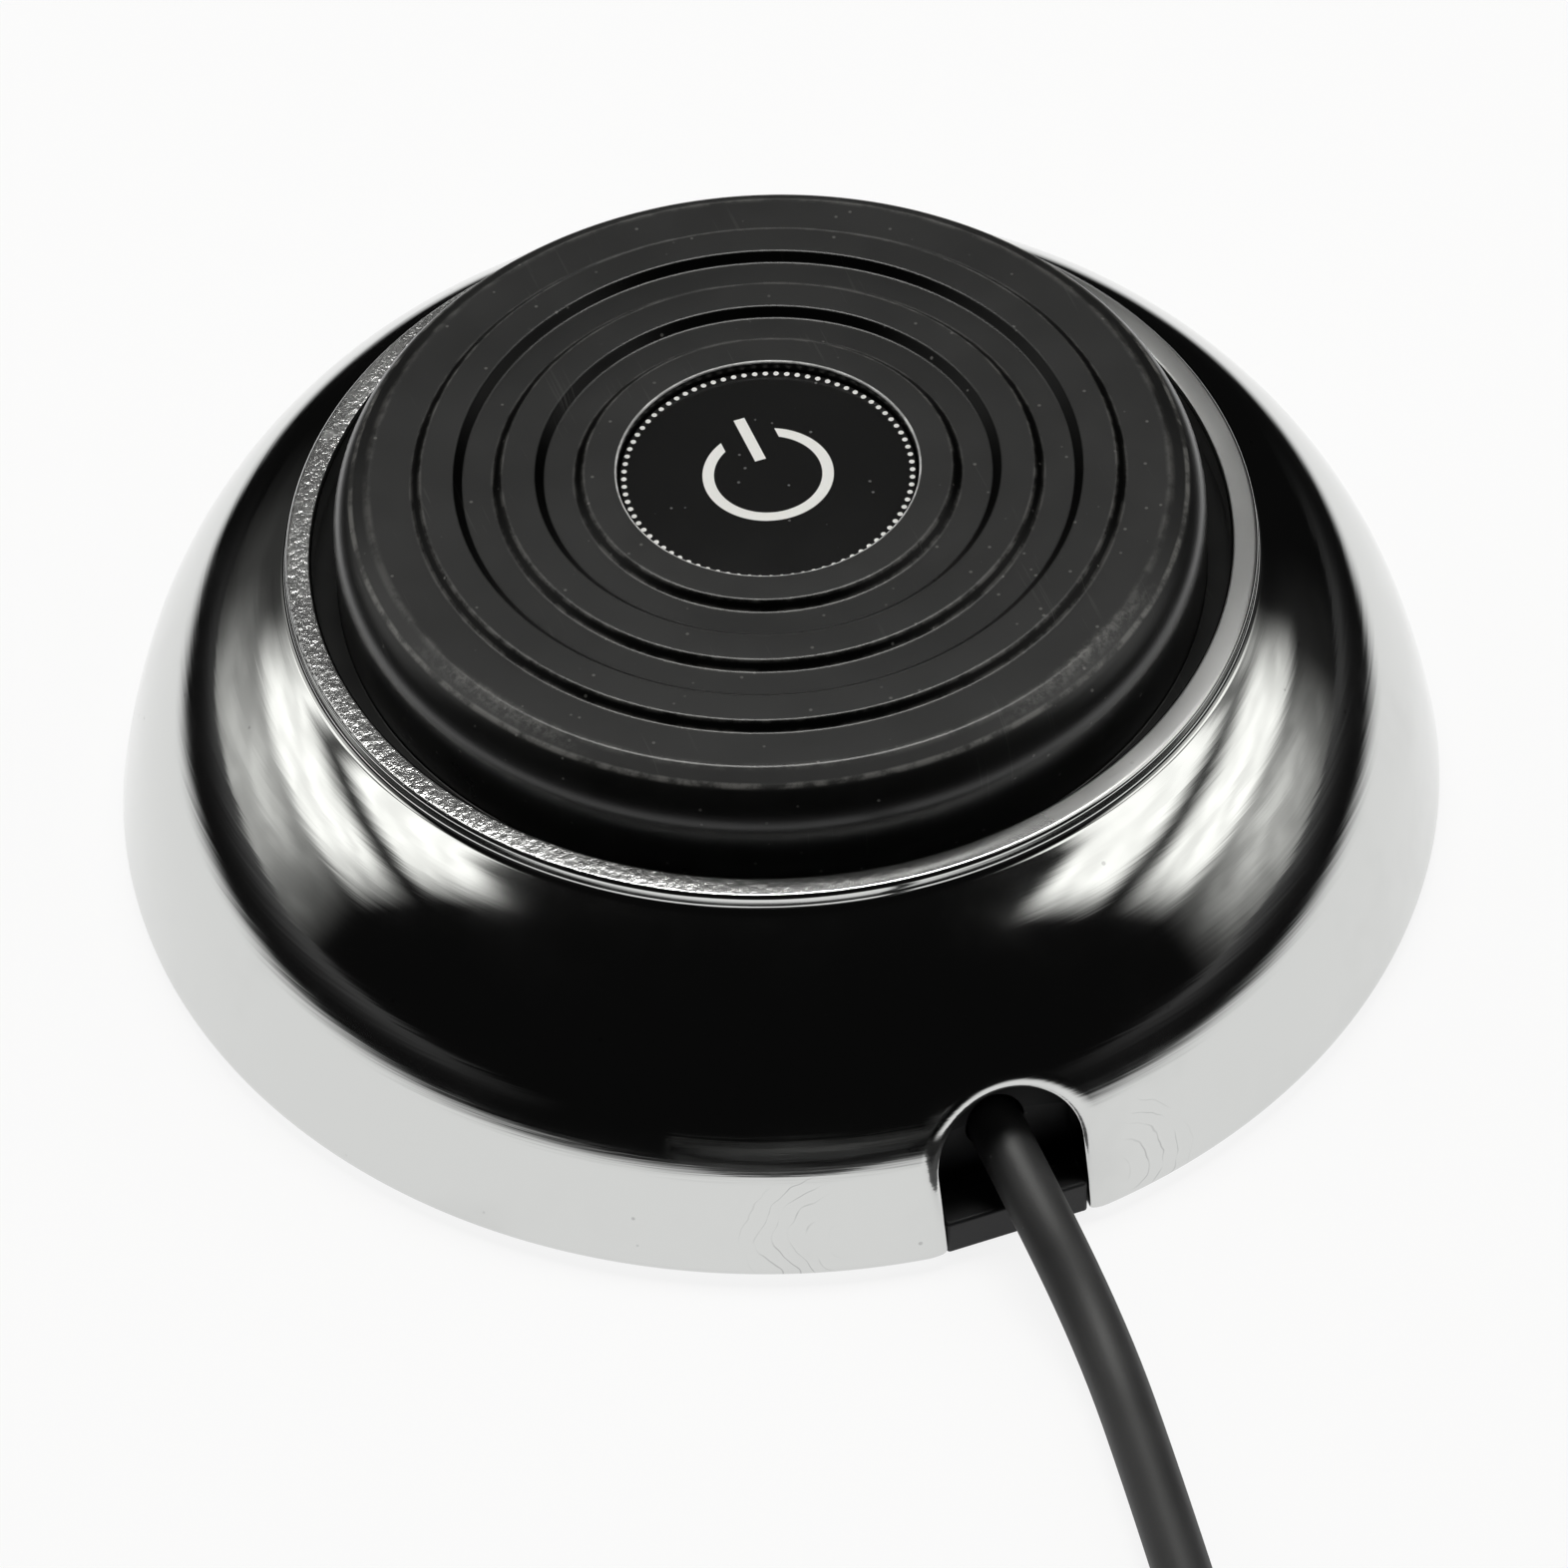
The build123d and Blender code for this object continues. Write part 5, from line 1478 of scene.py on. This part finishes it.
# Beyond the sheet, mirrors see a painted pool of window light on the floor below each side window.
sideways = toward(place, SIDEWAYS) / flat_radius(place)
painted_window_pool = step(place.math("ABSOLUTE", sideways), 0.55, 1.0)
far_off = step(flat_radius(place), SHEET_RADIUS, SIDE_FADE_END)
far_colour = mixed(painted_window_pool * far_off, grey(ROOM_GREY), grey(WINDOW_POOL_GREY))
dim = place.node("ShaderNodeEmission", inputs={"Color": far_colour, "Strength": 1.0})
glowing = (seen + mirrored + through) * FLOOR_WHITE
shown = place.node("ShaderNodeMixShader", inputs={0: glowing, 1: pale, 2: white})
floor_shader = place.node("ShaderNodeMixShader", inputs={0: mirrored * beyond, 1: shown, 2: dim})
place.node("ShaderNodeOutputMaterial", inputs={"Surface": floor_shader})
dress(floor, floor_finish)
print("floor", FLOOR_SIZE, "m wide, white in mirrors to", SHEET_RADIUS, "m")

# %% Room
world = bpy.data.worlds.new("room")
world.use_nodes = True
world.node_tree.nodes["Background"].inputs["Color"].default_value = grey(ROOM_GREY)
bpy.context.scene.world = world
print("room of grey", ROOM_GREY)

# %% Soft cards of light
CAMERA_TURN = 18.75
CARD_TINT = (1.0, 1.0, 0.97)
HIGH_PANE = {"strength": 1.7, "soft": 0.25, "uneven": 0.25}
MIDDLE_PANE = {"strength": 1.7, "soft": 0.3, "uneven": 0.3}
LOW_PANE = {"strength": 0.9, "soft": 0.5, "uneven": 0.4}
WALL = {"soft": 0.8, "uneven": 0.4, "distance": 1.6}


def soft_card(name, azimuth, elevation, size, strength, soft=0.3, uneven=0.0, distance=1.0):
    """A glowing card with soft edges, at an azimuth to the right of the camera and an elevation."""
    turn = radians(azimuth - CAMERA_TURN)
    flat = cos(radians(elevation))
    direction = Vector((sin(turn) * flat, -cos(turn) * flat, sin(radians(elevation))))
    facing = direction.to_track_quat("Z", "Y").to_euler()
    clear_selection()
    bpy.ops.mesh.primitive_plane_add(size=1.0, location=distance * direction, rotation=facing)
    card = bpy.context.object
    card.name = name
    card.scale = (*size, 1.0)
    card.visible_camera = False
    material, place = new_finish(name)
    across, up, _ = axes(place)
    fade = band(across, 0.0, 0.5 - soft / 2, soft / 2) * band(up, 0.0, 0.5 - soft / 2, soft / 2)
    cloud = step(noise(place, 5.0, 3.0), 0.35, 0.65)
    glow = place.node("ShaderNodeEmission", inputs={"Color": grey(1.0, CARD_TINT), "Strength": strength})
    clear = place.node("ShaderNodeBsdfTransparent")
    shown = place.node("ShaderNodeMixShader", inputs={0: fade * (1 - uneven * cloud), 1: clear, 2: glow})
    place.node("ShaderNodeOutputMaterial", inputs={"Surface": shown})
    dress(card, material)
    print(name, "at", [round(part, 2) for part in card.location])


soft_card("left_window_high", -103.0, 49.0, (0.90, 0.36), **HIGH_PANE)
soft_card("left_window_middle", -104.0, 28.5, (1.0, 0.36), **MIDDLE_PANE)
soft_card("left_window_low", -107.0, 9.0, (1.1, 0.8), **LOW_PANE)
soft_card("right_window_high", 91.0, 49.0, (1.0, 0.36), **HIGH_PANE)
soft_card("right_window_middle", 95.0, 28.5, (1.1, 0.36), **MIDDLE_PANE)
soft_card("right_window_low", 92.0, 11.0, (1.0, 0.66), **LOW_PANE)
soft_card("left_wall", -116.0, 14.0, (2.6, 2.0), strength=0.42, **WALL)
soft_card("right_wall", 100.0, 14.0, (2.2, 2.0), strength=0.2, **WALL)
soft_card("back_window", 180.0, 15.0, (0.9, 0.44), strength=1.5, soft=0.4, uneven=0.3)
soft_card("ceiling", 180.0, 78.0, (1.0, 0.3), strength=16.0)

bpy.context.scene.view_settings.view_transform = "Standard"
